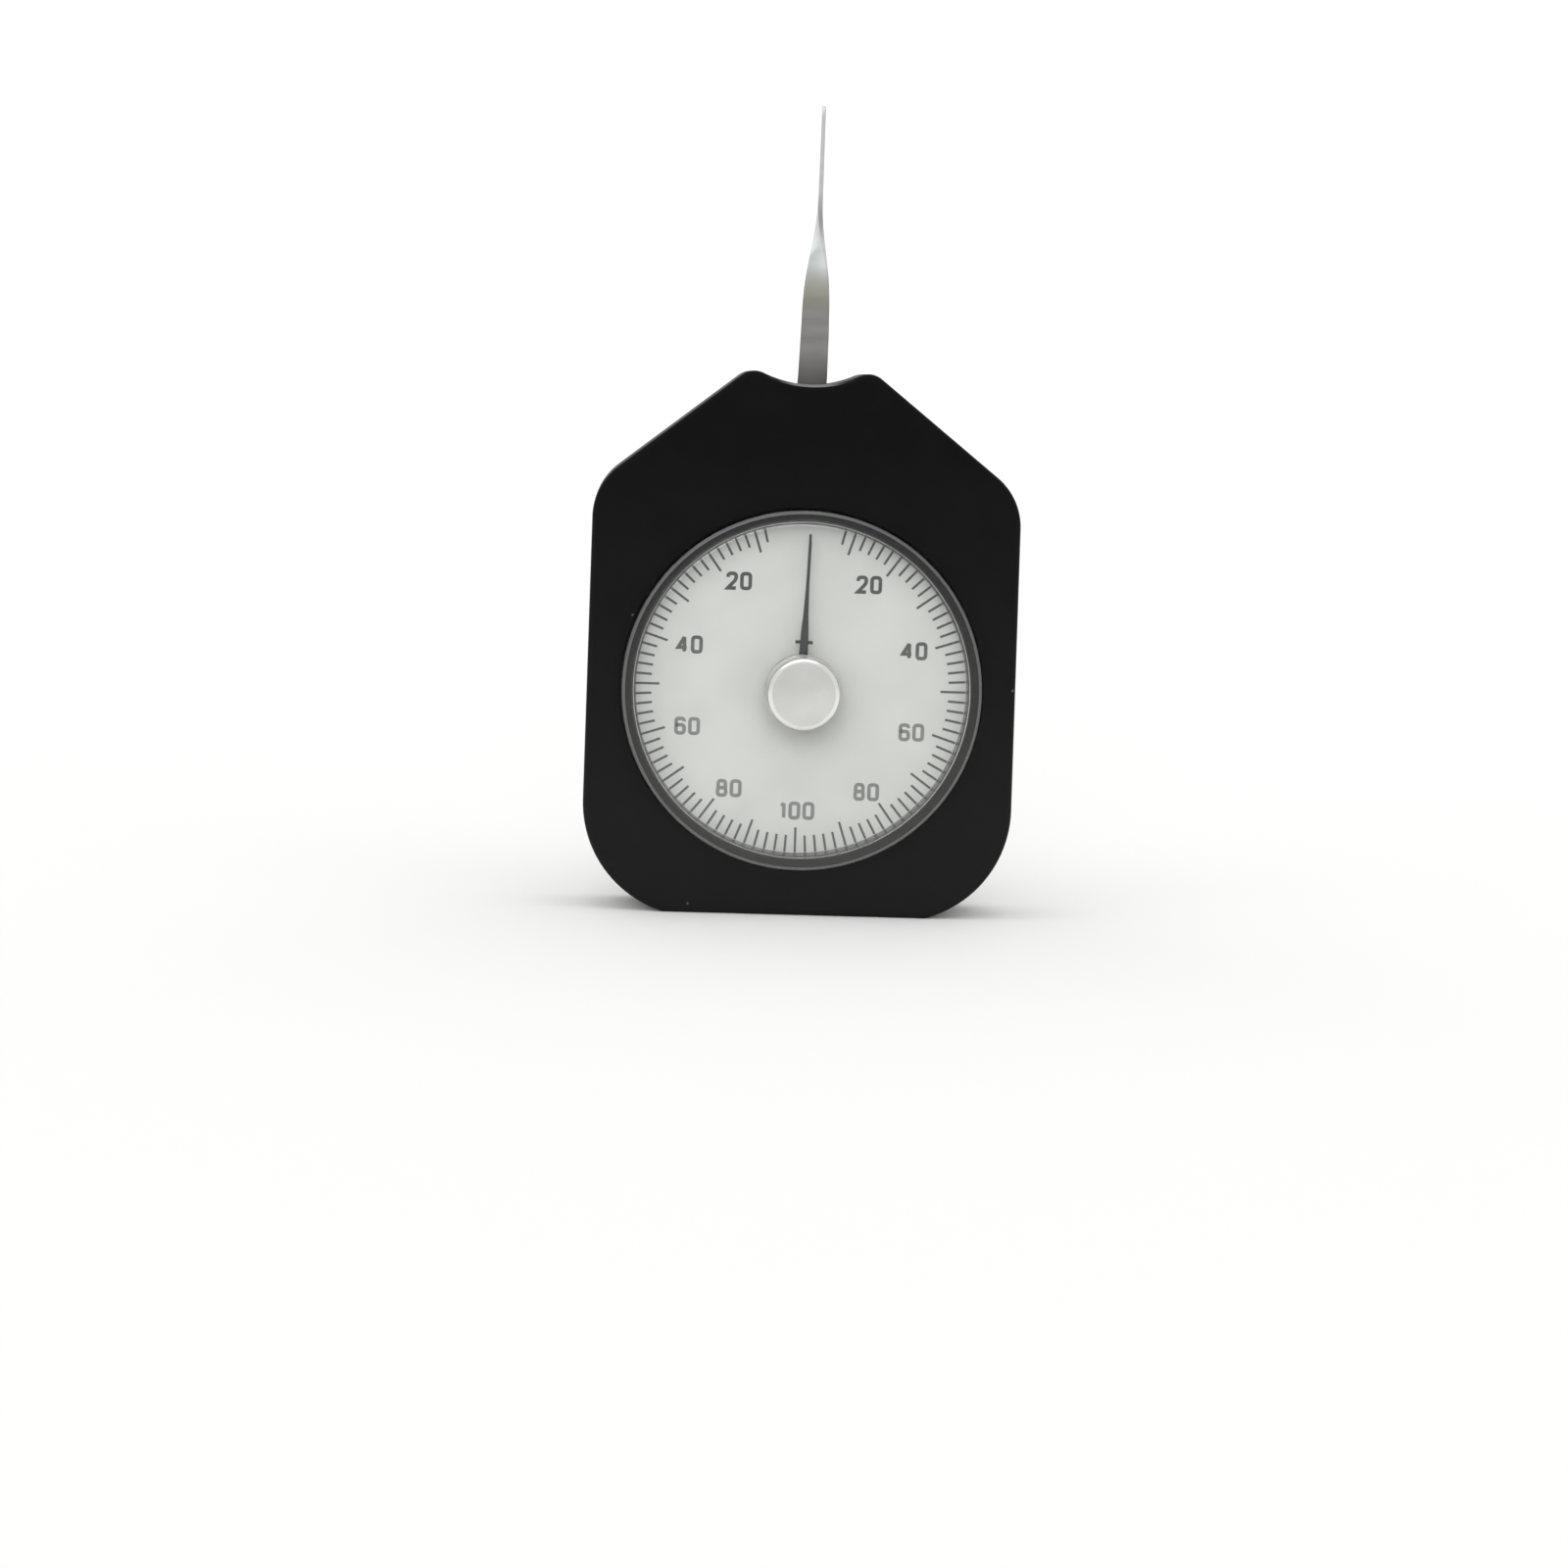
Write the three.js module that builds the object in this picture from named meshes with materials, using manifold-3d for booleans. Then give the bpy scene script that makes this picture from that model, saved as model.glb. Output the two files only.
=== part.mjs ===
// Dial tension gauge in millimetres, +Z up, with the dial facing -Y.
// A lever swings left and right out of the top of a black case. It winds a flat spring, and a toothed
// sector on its arbor turns the pointer. A second hand, on a knob in the crystal, keeps the peak reading.
// The origin is on the flat underside of the case, midway through the case's depth.
import * as THREE from "three";
import { mergeVertices } from "three/addons/utils/BufferGeometryUtils.js";
import Module from "manifold-3d";

const wasm = await Module();
wasm.setup();

// Fits
const FIT_GAP = 0.06; // all round a shaft in its hole, and between a part and what it turns against
const SEAT_GAP = 0.15; // round a part that drops into a recess
const OVERRUN = 1; // how far a cut runs past the faces that it opens
const WELD = 1e-4; // points closer than this are one point

// Facets of a full turn
const SMALL_ROUND = 12;
const MEDIUM_ROUND = 24;
const LARGE_ROUND = 64;

// Facets of an arc
const CORNER_FACETS = 8;
const SHOULDER_FACETS = 5;
const HORN_FACETS = 6;
const NOTCH_FACETS = 4;
const EDGE_FACETS = 2;
const KNOB_RIM_FACETS = 3;
const SECTOR_WINDOW_FACETS = 8;

// Gear pair: the sector is part of a wheel of SECTOR_WHEEL_TEETH
const GEAR_MODULE = 0.3;
const PINION_TEETH = 14;
const SECTOR_WHEEL_TEETH = 182;
const SECTOR_TEETH = 17;
const TOOTH_RISE_SHARE = 0.8; // of the module, above the pitch line
const TOOTH_FALL_SHARE = 1.15; // of the module, below the pitch line
const TOOTH_ROOT_SHARE = 0.6; // of the pitch, a tooth's width at its foot
const TOOTH_TIP_SHARE = 0.24; // of the pitch, a tooth's width at its tip
const PINION_PITCH_RADIUS = (GEAR_MODULE * PINION_TEETH) / 2;
const SECTOR_PITCH_RADIUS = (GEAR_MODULE * SECTOR_WHEEL_TEETH) / 2;
const LEVER_SWING = (Math.PI * PINION_TEETH) / SECTOR_WHEEL_TEETH; // turns the pointer half a turn

// Case outline
const WINDOW_RADIUS = 23.25;
const SIDE_BAND = 4.45; // from the window to the side of the case
const BOTTOM_BAND = 5.95; // from the window to the underside
const SIDE_DRAFT = 0.2; // each side leans in this much up to the shoulder
const CORNER_RADIUS = 14.8;
const CORNER_HEIGHT = 14.2; // of the centre of the bottom corner's arc
const SHOULDER_RADIUS = 8.3;
const SHOULDER_RISE = 21.5; // from the dial's centre to the centre of the shoulder's arc
const HORN_RADIUS = 2.75;
const HORN_SPREAD = 7.3; // from the middle to each horn
const HORN_RISE = 11.3; // from the lever's pivot to the top of the horns
const NOTCH_RADIUS = 15;
const CASE_EDGE = 0.8; // bevel round the front and back faces
const WALL = 2.5;
const DIAL_HEIGHT = BOTTOM_BAND + WINDOW_RADIUS;
const PIVOT_HEIGHT = DIAL_HEIGHT + PINION_PITCH_RADIUS + SECTOR_PITCH_RADIUS;
const CASE_HALF_WIDTH = WINDOW_RADIUS + SIDE_BAND;
const CAVITY_HALF_WIDTH = CASE_HALF_WIDTH - SIDE_DRAFT - WALL;

// Thicknesses, from the window to the back of the case
const FRONT_SKIN = 2.5;
const WINDOW_DEPTH = 1; // from the case's front face to the ledge that the crystal rests on
const LEDGE_THICKNESS = 4;
const LEDGE_WIDTH = 2.05;
const LEDGE_DRAFT = 0.4; // how much more the ledge's bore measures in radius at its face
const DIAL_THICKNESS = 0.5;
const DIAL_LAP = 1; // how far the dial plate runs in behind the ledge
const DIAL_BORE_GAP = 0.6; // round the pointer's arbor
const PLATE_THICKNESS = 1;
const PLATE_GAP = 0.6; // from the movement's round plate to the wall of the cavity
const PLATE_RADIUS = CAVITY_HALF_WIDTH - PLATE_GAP;
const STACK_GAP = 0.3; // from the front plate to the heads of the clamp screws
const CLAMP_THICKNESS = 0.7;
const LEVER_THICKNESS = 0.5;
const HOLDER_THICKNESS = 0.9;
const SECTOR_THICKNESS = 0.7;
const COLLET_LENGTH = 1.2;
const COLLET_GAP = 0.5; // from the spring's collet to the back plate
const COVER_GAP = 0.6; // from the heads of the pillar screws to the cover
const COVER_THICKNESS = 2.2;
const COVER_PLUG = 0.8; // how far the cover's step reaches into the case
const HEAD_THICKNESS = 0.5; // of the pillar and movement screws
const CLAMP_HEAD_THICKNESS = 0.4;

// Stations along Y, front to back
const CLAMP_STACK = STACK_GAP + CLAMP_HEAD_THICKNESS + CLAMP_THICKNESS;
const MOVEMENT_GAP =
  CLAMP_STACK + LEVER_THICKNESS + HOLDER_THICKNESS + SECTOR_THICKNESS + COLLET_LENGTH + COLLET_GAP;
const MOVEMENT_DEPTH = MOVEMENT_GAP + 2 * PLATE_THICKNESS + HEAD_THICKNESS + COVER_GAP;
const CASE_DEPTH = WINDOW_DEPTH + LEDGE_THICKNESS + DIAL_THICKNESS + MOVEMENT_DEPTH + COVER_THICKNESS;
const FRONT_FACE_Y = -CASE_DEPTH / 2;
const SKIN_BACK_Y = FRONT_FACE_Y + FRONT_SKIN;
const LEDGE_FACE_Y = FRONT_FACE_Y + WINDOW_DEPTH;
const DIAL_FACE_Y = LEDGE_FACE_Y + LEDGE_THICKNESS;
const DIAL_BACK_Y = DIAL_FACE_Y + DIAL_THICKNESS;
const FRONT_PLATE_BACK_Y = DIAL_BACK_Y + PLATE_THICKNESS;
const CLAMP_FACE_Y = FRONT_PLATE_BACK_Y + STACK_GAP + CLAMP_HEAD_THICKNESS;
const LEVER_FACE_Y = CLAMP_FACE_Y + CLAMP_THICKNESS;
const HOLDER_FACE_Y = LEVER_FACE_Y + LEVER_THICKNESS;
const SECTOR_FACE_Y = HOLDER_FACE_Y + HOLDER_THICKNESS;
const COLLET_FACE_Y = SECTOR_FACE_Y + SECTOR_THICKNESS;
const BACK_PLATE_FACE_Y = FRONT_PLATE_BACK_Y + MOVEMENT_GAP;
const BACK_PLATE_BACK_Y = BACK_PLATE_FACE_Y + PLATE_THICKNESS;
const BACK_FACE_Y = CASE_DEPTH / 2;
const COVER_JOINT_Y = BACK_FACE_Y - COVER_THICKNESS;
const PLUG_FACE_Y = COVER_JOINT_Y - COVER_PLUG;

// Hands, from the dial forwards
const HAND_THICKNESS = 0.15;
const POINTER_GAP = 1; // from the dial to the pointer's hub
const POINTER_HUB_LENGTH = 1.3;
const POINTER_HUB_RADIUS = 2;
const HANDS_GAP = 1.15; // between the pointer and the peak hand
const DRIVER_GAP = 0.3; // from the driver's tips to the peak hand
const DRIVER_RADIUS = 6.1; // from the dial's centre
const DRIVER_SPAN = 2.2;
const DRIVER_WIDTH = 0.4;
const PEAK_DISC_RADIUS = 4.6;
const PEAK_DISC_THICKNESS = 0.35;
const PEAK_BOSS_RADIUS = 1.8;
const PEAK_BOSS_LENGTH = 0.8;
const HAND_END_GAP = 1.2; // from the pointer's tip to the edge of the ledge
const PEAK_HAND_SHORTFALL = 0.8; // how much shorter the peak hand is
const HAND_TAIL = 3.6;
const HAND_ROOT_WIDTH = 1.2;
const HAND_WAIST_WIDTH = 0.45;
const HAND_WAIST = 9.5; // from the dial's centre
const HAND_TIP_WIDTH = 0.22;
const HANDS_AT_REST = 1.7; // degrees right of the dial's zero
const CLIP_THICKNESS = 0.25;
const CLIP_RADIUS = 1.4;
const LEDGE_RADIUS = WINDOW_RADIUS - LEDGE_WIDTH;
const DIAL_RADIUS = LEDGE_RADIUS + DIAL_LAP;
const POINTER_LENGTH = LEDGE_RADIUS - HAND_END_GAP;
const PEAK_HAND_LENGTH = POINTER_LENGTH - PEAK_HAND_SHORTFALL;
const POINTER_HUB_FACE_Y = DIAL_FACE_Y - POINTER_GAP - POINTER_HUB_LENGTH;
const POINTER_FACE_Y = POINTER_HUB_FACE_Y - HAND_THICKNESS;
const PEAK_HAND_BACK_Y = POINTER_FACE_Y - HANDS_GAP;
const PEAK_DISC_BACK_Y = PEAK_HAND_BACK_Y - HAND_THICKNESS;
const PEAK_DISC_FACE_Y = PEAK_DISC_BACK_Y - PEAK_DISC_THICKNESS;
const PEAK_BOSS_FACE_Y = PEAK_DISC_FACE_Y - PEAK_BOSS_LENGTH;
const CLIP_BACK_Y = PEAK_BOSS_FACE_Y - FIT_GAP;

// Crystal, knob and their shaft
const BUSH_TAIL = 0.25; // how far the bush stands out behind the crystal
const BUSH_RADIUS = 1.5;
const BUSH_FLANGE_RADIUS = 2.6;
const BUSH_FLANGE_THICKNESS = 0.5;
const CRYSTAL_THICKNESS = 1.4;
const CRYSTAL_SKIRT = 1.3;
const CRYSTAL_BEVEL = 0.4;
const WASHER_THICKNESS = 0.25;
const WASHER_WIDTH = 1.6;
const SHAFT_RADIUS = 0.75;
const SHAFT_IN_KNOB = 2.8;
const KNOB_HEIGHT = 4.5;
const KNOB_RADIUS = 4.85;
const KNOB_TAPER = 0.2; // how much smaller the knob's radius is at the front
const KNOB_ROUND = 0.55;
const BUSH_END_Y = CLIP_BACK_Y - CLIP_THICKNESS - FIT_GAP;
const CRYSTAL_INNER_Y = BUSH_END_Y - BUSH_TAIL;
const CRYSTAL_FACE_Y = CRYSTAL_INNER_Y - CRYSTAL_THICKNESS;
const BUSH_FLANGE_FACE_Y = CRYSTAL_FACE_Y - BUSH_FLANGE_THICKNESS;
const KNOB_BACK_Y = BUSH_FLANGE_FACE_Y - WASHER_THICKNESS - FIT_GAP;
const KNOB_FACE_Y = KNOB_BACK_Y - KNOB_HEIGHT;

// Movement
const ARBOR_RADIUS = 1;
const PINION_ARBOR_RADIUS = 0.6;
const ARBOR_END_GAP = 0.1; // from an arbor's end to its bush's outer face
const BUSH_WALL = 0.7;
const BUSH_COLLAR = 0.5; // how far a bush's flange stands out round it
const BUSH_COLLAR_THICKNESS = 0.2;
const PINION_OVERHANG = 0.3; // how far the pinion is longer than the sector, on each side
const TONGUE_HALF_WIDTH = 13.5; // the plate's upper part, which carries the lever
const TONGUE_TOP_HALF_WIDTH = 8.5;
const TONGUE_GAP = 1.2; // from the top of the plates to the top of the cavity
const BACK_PLATE_HALF_WIDTH = 12.5;
const BACK_PLATE_FOOT_HALF_WIDTH = 8.5;
const BACK_PLATE_DROP = 13.5; // from the dial's centre to the back plate's lower edge
const BACK_PLATE_WINDOW_WIDTH = 9;
const BACK_PLATE_WINDOW_SHARES = [0.3, 0.62]; // of the way from the dial's centre to the pivot
const PILLAR_RADIUS = 1.3;
const PILLAR_SPREAD = 10;
const UPPER_PILLAR_RISE = 1.4; // above the pivot
const LOWER_PILLAR_DROP = 9.4; // below the dial's centre
const HUB_RADIUS = 2.7;
const ARM_HALF_WIDTH = 2;
const ARM_LENGTH = 5.6;
const CLAMP_FOOT = 1.5; // from the pivot to the lower end of the clamp and the lever
const CLAMP_SCREW_SPACING = 1.9;
const SECTOR_RIM = 2.2;
const SECTOR_SPOKE = 1.6;
const SECTOR_HOLE_START = 8; // from the pivot
const SPRING_COLLET_WALL = 0.9;
const SPRING_GAP = 0.8; // from the measuring spring to the top of the cavity
const SPRING_TURNS = 2.5;
const SPRING_STRIP = 0.25;
const SPRING_WIDTH = 0.9;
const HAIRSPRING_RADIUS = 4.3;
const HAIRSPRING_TURNS = 3.5;
const HAIRSPRING_STRIP = 0.15;
const HAIRSPRING_WIDTH = 0.5;
const HAIRSPRING_COLLET_WALL = 0.55;
const STUD_RADIUS = 0.6;
const SPRING_STUD_ANGLE = 150; // degrees from +X
const HAIRSPRING_STUD_ANGLE = 200;
const STOP_PIN_RADIUS = 0.6;
const STOP_PIN_RISE = 4.6; // along the arm, from the pivot
const STOP_GAP = 0.15; // between an arm at its limit and the pin

// Screws
const COVER_SCREW = { radius: 0.95, head: 1.9, headLength: 1, length: 7 };
const PLATE_SCREW = { radius: 0.45, head: 0.8, headLength: HEAD_THICKNESS, length: 2.6 };
const PILLAR_SCREW = { radius: 0.5, head: 1.05, headLength: HEAD_THICKNESS, length: 3 };
const CLAMP_SCREW = { radius: 0.42, head: 0.85, headLength: CLAMP_HEAD_THICKNESS, length: 1.9 };
const SCREW_GAP = 0.1; // round a screw in its hole
const SLOT_WIDTH_SHARE = 0.3; // of a head's radius
const SLOT_DEPTH_SHARE = 0.45; // of a head's length
const BOSS_RADIUS = 2.6;
const BOSS_BITE = 0.2; // how far a boss runs into the wall beside it
const CORNER_BOSS_ANGLE = -40; // degrees, seen from the corner's arc centre
const SHOULDER_BOSS_ANGLE = 25;
const COUNTERBORE_DEPTH = 1.2;
const PLATE_SCREW_ANGLES = [30, 150, 270];

// Lever
const LEVER_FOOT_WIDTH = 3.9;
const LEVER_NECK_WIDTH = 3.66; // where the twist starts
const LEVER_BLADE_WIDTH = 3; // where the twist ends
const LEVER_TIP_WIDTH = 1.1;
const LEVER_TIP_THICKNESS = 0.4;
const LEVER_LENGTH = 45.4; // from the pivot
const TWIST_START = 16;
const TWIST_END = 33;
const TWIST_STEPS = 18;
const BLADE_STEPS = 5;
const TIP_ROUND = 0.5;
const LEVER_SET = 0.52; // how far right of the middle the strip is where the twist starts
const LEVER_LEAN = 0.75; // how far right of the middle the tip is
const SLOT_END_GAP = 0.6; // from the lever at its limit to the end of the slot
const SLOT_SIDE_GAP = 0.9;

const MATERIALS = {
  blackPlastic: { color: 0x1b1b1b, roughness: 0.55, metalness: 0 },
  screwSteel: { color: 0x9a9ca0, roughness: 0.35, metalness: 1 },
  springSteel: { color: 0x8b8c8e, roughness: 0.3, metalness: 1 },
  satinChrome: { color: 0xcfd1d2, roughness: 0.3, metalness: 1 },
  brass: { color: 0xc6a255, roughness: 0.35, metalness: 1 },
  dialWhite: { color: 0xd6d7d4, roughness: 0.6, metalness: 0 },
  handBlack: { color: 0x1c1c1e, roughness: 0.5, metalness: 0.2 },
  crystal: { color: 0xe8ecec, roughness: 0.05, metalness: 0, transparent: true, opacity: 0.25 },
};

const finish = (name) => new THREE.MeshStandardMaterial({ name, ...MATERIALS[name] });
const radians = THREE.MathUtils.degToRad;
const point = (x, y) => new THREE.Vector2(x, y);
const polar = (radius, angle) => point(radius * Math.cos(angle), radius * Math.sin(angle));
const mirrored = (points) => points.map((p) => point(-p.x, p.y)).reverse();

// Outlines are drawn in the plane of the dial, as x and z.

function arcPoints(centre, radius, from, to, facets) {
  const steps = Math.round(facets);
  return Array.from({ length: steps + 1 }, (_, step) =>
    polar(radius, from + ((to - from) * step) / steps).add(centre),
  );
}

// Every round starts at its top, so that the facets of a pin and of its hole match
function circlePoints(centre, radius, facets) {
  return arcPoints(centre, radius, Math.PI / 2, (5 * Math.PI) / 2, facets).slice(1);
}

// Centres of the arcs of the case's right half, from the bottom corner up to the notch
const CORNER_CENTRE = point(CASE_HALF_WIDTH - CORNER_RADIUS, CORNER_HEIGHT);
const SHOULDER_CENTRE = point(
  CASE_HALF_WIDTH - SIDE_DRAFT - SHOULDER_RADIUS,
  DIAL_HEIGHT + SHOULDER_RISE,
);
const HORN_CENTRE = point(HORN_SPREAD, PIVOT_HEIGHT + HORN_RISE - HORN_RADIUS);
const NOTCH_CENTRE = point(
  0,
  HORN_CENTRE.y + Math.sqrt((HORN_RADIUS + NOTCH_RADIUS) ** 2 - HORN_SPREAD ** 2),
);
const NOTCH_HEIGHT = NOTCH_CENTRE.y - NOTCH_RADIUS;
const CAVITY_RISE = NOTCH_HEIGHT - WALL - PIVOT_HEIGHT; // from the pivot to the top of the cavity
const TONGUE_RISE = CAVITY_RISE - TONGUE_GAP;
const SPRING_RADIUS = CAVITY_RISE - SPRING_GAP - SPRING_STRIP / 2;

// The direction in which the straight slope between the shoulder and the horn faces
const SLOPE_ANGLE = (() => {
  const across = HORN_CENTRE.clone().sub(SHOULDER_CENTRE);
  return across.angle() - Math.acos((SHOULDER_RADIUS - HORN_RADIUS) / across.length());
})();

// The right side from the underside up to the end of the shoulder's arc, set in from the case's surface
function sidePoints(inset) {
  const radius = CORNER_RADIUS - inset;
  const foot = -Math.asin((CORNER_HEIGHT - inset) / radius);
  return [
    ...arcPoints(CORNER_CENTRE, radius, foot, 0, CORNER_FACETS),
    ...arcPoints(SHOULDER_CENTRE, SHOULDER_RADIUS - inset, 0, SLOPE_ANGLE, SHOULDER_FACETS),
  ];
}

function caseOutline() {
  const meeting = NOTCH_CENTRE.clone().sub(HORN_CENTRE).angle();
  const right = [
    ...sidePoints(0),
    ...arcPoints(HORN_CENTRE, HORN_RADIUS, SLOPE_ANGLE, meeting, HORN_FACETS),
    ...arcPoints(NOTCH_CENTRE, NOTCH_RADIUS, meeting - Math.PI, -Math.PI / 2, NOTCH_FACETS).slice(1),
  ];
  return [...right, ...mirrored(right).slice(1)];
}

// The cavity is closed by a flat top a wall below the notch
function cavityOutline(inset) {
  const side = sidePoints(inset);
  const end = side[side.length - 1];
  const top = NOTCH_HEIGHT - inset;
  const right = [...side, point(end.x - (top - end.y) * Math.tan(SLOPE_ANGLE), top)];
  return [...right, ...mirrored(right)];
}

// The movement's front plate: a disc with a tongue, larger all round by the margin
function plateOutline(margin) {
  const radius = PLATE_RADIUS + margin;
  const half = TONGUE_HALF_WIDTH + margin;
  const join = Math.acos(half / radius);
  const dial = point(0, DIAL_HEIGHT);
  return [
    ...arcPoints(dial, radius, -Math.PI - join, join, LARGE_ROUND),
    point(half, PIVOT_HEIGHT),
    point(TONGUE_TOP_HALF_WIDTH + margin, PIVOT_HEIGHT + TONGUE_RISE + margin),
    point(-TONGUE_TOP_HALF_WIDTH - margin, PIVOT_HEIGHT + TONGUE_RISE + margin),
    point(-half, PIVOT_HEIGHT),
  ];
}

// Teeth of a gear centred on zero, tooth 0 pointing along the given angle
function toothPoints(pitchRadius, wheelTeeth, first, last, angle) {
  const pitch = (2 * Math.PI) / wheelTeeth;
  const root = pitchRadius - TOOTH_FALL_SHARE * GEAR_MODULE;
  const tip = pitchRadius + TOOTH_RISE_SHARE * GEAR_MODULE;
  const points = [];
  for (let tooth = first; tooth <= last; tooth += 1) {
    const middle = angle + tooth * pitch;
    const foot = (TOOTH_ROOT_SHARE * pitch) / 2;
    const crest = (TOOTH_TIP_SHARE * pitch) / 2;
    points.push(polar(root, middle - foot), polar(tip, middle - crest));
    points.push(polar(tip, middle + crest), polar(root, middle + foot));
  }
  return points;
}

// A flat strip wound into a spiral about zero, ending at the given angle
function spiralPoints(inner, outer, turns, strip, endAngle) {
  const steps = Math.round(turns * MEDIUM_ROUND);
  const edge = (side) =>
    Array.from({ length: steps + 1 }, (_, step) => {
      const radius = inner + ((outer - inner) * step) / steps + (side * strip) / 2;
      return polar(radius, endAngle - (2 * Math.PI * turns * (steps - step)) / steps);
    });
  return [...edge(1), ...edge(-1).reverse()];
}

// Solids

// An outline with holes, cut from sheet between two stations along Y
function slab(outline, front, back, holes = []) {
  const shape = new THREE.Shape(outline);
  shape.holes = holes.map((hole) => new THREE.Path(hole));
  const geometry = new THREE.ExtrudeGeometry(shape, { depth: back - front, bevelEnabled: false });
  return geometry.rotateX(Math.PI / 2).translate(0, back, 0);
}

// A profile of [radius, y] pairs turned about the Y axis, front to back along its outside
function turned(profile, facets) {
  const closed = [...profile, profile[0]].map(([radius, y]) => point(radius, y));
  return new THREE.LatheGeometry(closed, Math.round(facets));
}

function tube(inner, outer, front, back, facets) {
  return turned([[inner, front], [outer, front], [outer, back], [inner, back]], facets);
}

function rod(radius, front, back, facets) {
  return tube(0, radius, front, back, facets);
}

// The closed mesh of a geometry, as a solid that can be joined and cut
function solid(geometry) {
  const bare = geometry.clone();
  bare.deleteAttribute("normal");
  bare.deleteAttribute("uv");
  const merged = mergeVertices(bare, WELD);
  const index = Array.from(merged.index.array);
  const corners = index.map((_, at) => index.slice(at - (at % 3), at - (at % 3) + 3));
  const triVerts = Uint32Array.from(index.filter((_, at) => new Set(corners[at]).size === 3));
  return new wasm.Manifold(
    new wasm.Mesh({ numProp: 3, vertProperties: merged.attributes.position.array, triVerts }),
  );
}

function geometryOf(body) {
  const { vertProperties, triVerts } = body.getMesh();
  const geometry = new THREE.BufferGeometry();
  geometry.setAttribute("position", new THREE.BufferAttribute(vertProperties, 3));
  geometry.setIndex(new THREE.BufferAttribute(triVerts, 1));
  const flat = geometry.toNonIndexed();
  flat.computeVertexNormals();
  return flat;
}

const join = (body, ...others) => others.reduce((whole, other) => whole.add(solid(other)), body);
const cut = (body, ...tools) => tools.reduce((rest, tool) => rest.subtract(solid(tool)), body);
const cylinderAt = (centre, radius, front, back, facets) =>
  slab(circlePoints(centre, radius, facets), front, back);

function piece(parent, name, geometry, material) {
  const mesh = new THREE.Mesh(geometry, finish(material));
  mesh.name = name;
  parent.add(mesh);
  return mesh;
}

// A slotted screw whose head's underside is at zero, its shank running to +Y
function screwGeometry({ radius, head, headLength, length }, turn) {
  const profile = [
    [0, -headLength],
    [head, -headLength],
    [head, 0],
    [radius, 0],
    [radius, length],
    [0, length],
  ];
  const blank = solid(turned(profile, SMALL_ROUND));
  const width = 2 * head * SLOT_WIDTH_SHARE;
  const depth = headLength * SLOT_DEPTH_SHARE;
  const slot = new THREE.BoxGeometry(2 * head + OVERRUN, depth + OVERRUN, width);
  slot.translate(0, -headLength + (depth - OVERRUN) / 2, 0).rotateY(turn);
  return geometryOf(cut(blank, slot));
}

const screwHole = (screw, centre, front, back) =>
  cylinderAt(centre, screw.radius + SCREW_GAP, front, back, SMALL_ROUND);

// Where things are fastened
const DIAL_CENTRE = point(0, DIAL_HEIGHT);
const PIVOT = point(0, PIVOT_HEIGHT);
const bossAt = (centre, radius, angle) =>
  polar(radius - WALL - BOSS_RADIUS + BOSS_BITE, radians(angle)).add(centre);
const rightBosses = [
  bossAt(CORNER_CENTRE, CORNER_RADIUS, CORNER_BOSS_ANGLE),
  bossAt(SHOULDER_CENTRE, SHOULDER_RADIUS, SHOULDER_BOSS_ANGLE),
];
const BOSS_CENTRES = [...rightBosses, ...mirrored(rightBosses)];
const PLATE_SCREW_RADIUS = PLATE_RADIUS - PLATE_SCREW.head - SCREW_GAP;
const PLATE_SCREW_CENTRES = PLATE_SCREW_ANGLES.map((angle) =>
  polar(PLATE_SCREW_RADIUS, radians(angle)).add(DIAL_CENTRE),
);
const PILLAR_CENTRES = [-1, 1].flatMap((side) => [
  point(side * PILLAR_SPREAD, PIVOT_HEIGHT + UPPER_PILLAR_RISE),
  point(side * PILLAR_SPREAD, DIAL_HEIGHT - LOWER_PILLAR_DROP),
]);
const CLAMP_SCREW_RISES = [-1, 1].map(
  (side) => (CLAMP_FOOT + ARM_LENGTH) / 2 + (side * CLAMP_SCREW_SPACING) / 2,
);

// Case

// The whole block of the case with both its faces bevelled, before it is hollowed
function caseBlock() {
  const geometry = new THREE.ExtrudeGeometry(new THREE.Shape(caseOutline()), {
    depth: CASE_DEPTH - 2 * CASE_EDGE,
    bevelThickness: CASE_EDGE,
    bevelSize: CASE_EDGE,
    bevelOffset: -CASE_EDGE,
    bevelSegments: EDGE_FACETS,
  });
  return solid(geometry.rotateX(Math.PI / 2).translate(0, BACK_FACE_Y - CASE_EDGE, 0));
}

// Half the space, in front of or behind the joint with the cover
function sideOfJoint(behind) {
  const reach = PIVOT_HEIGHT + CASE_HALF_WIDTH;
  const box = new THREE.BoxGeometry(2 * reach, CASE_DEPTH, 2 * reach);
  return solid(box.translate(0, COVER_JOINT_Y + (behind ? CASE_DEPTH : -CASE_DEPTH) / 2, 0));
}

function leverSlot() {
  const half = LEVER_FOOT_WIDTH / 2;
  const along = (HORN_RISE + half * Math.sin(LEVER_SWING)) / Math.cos(LEVER_SWING);
  const reach = half * Math.cos(LEVER_SWING) + along * Math.sin(LEVER_SWING) + SLOT_END_GAP;
  const front = LEVER_FACE_Y - SLOT_SIDE_GAP;
  const back = HOLDER_FACE_Y + SLOT_SIDE_GAP;
  const bottom = NOTCH_HEIGHT - WALL - OVERRUN;
  const top = PIVOT_HEIGHT + HORN_RISE + OVERRUN;
  const slot = new THREE.BoxGeometry(2 * reach, back - front, top - bottom);
  return slot.translate(0, (front + back) / 2, (top + bottom) / 2);
}

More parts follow.
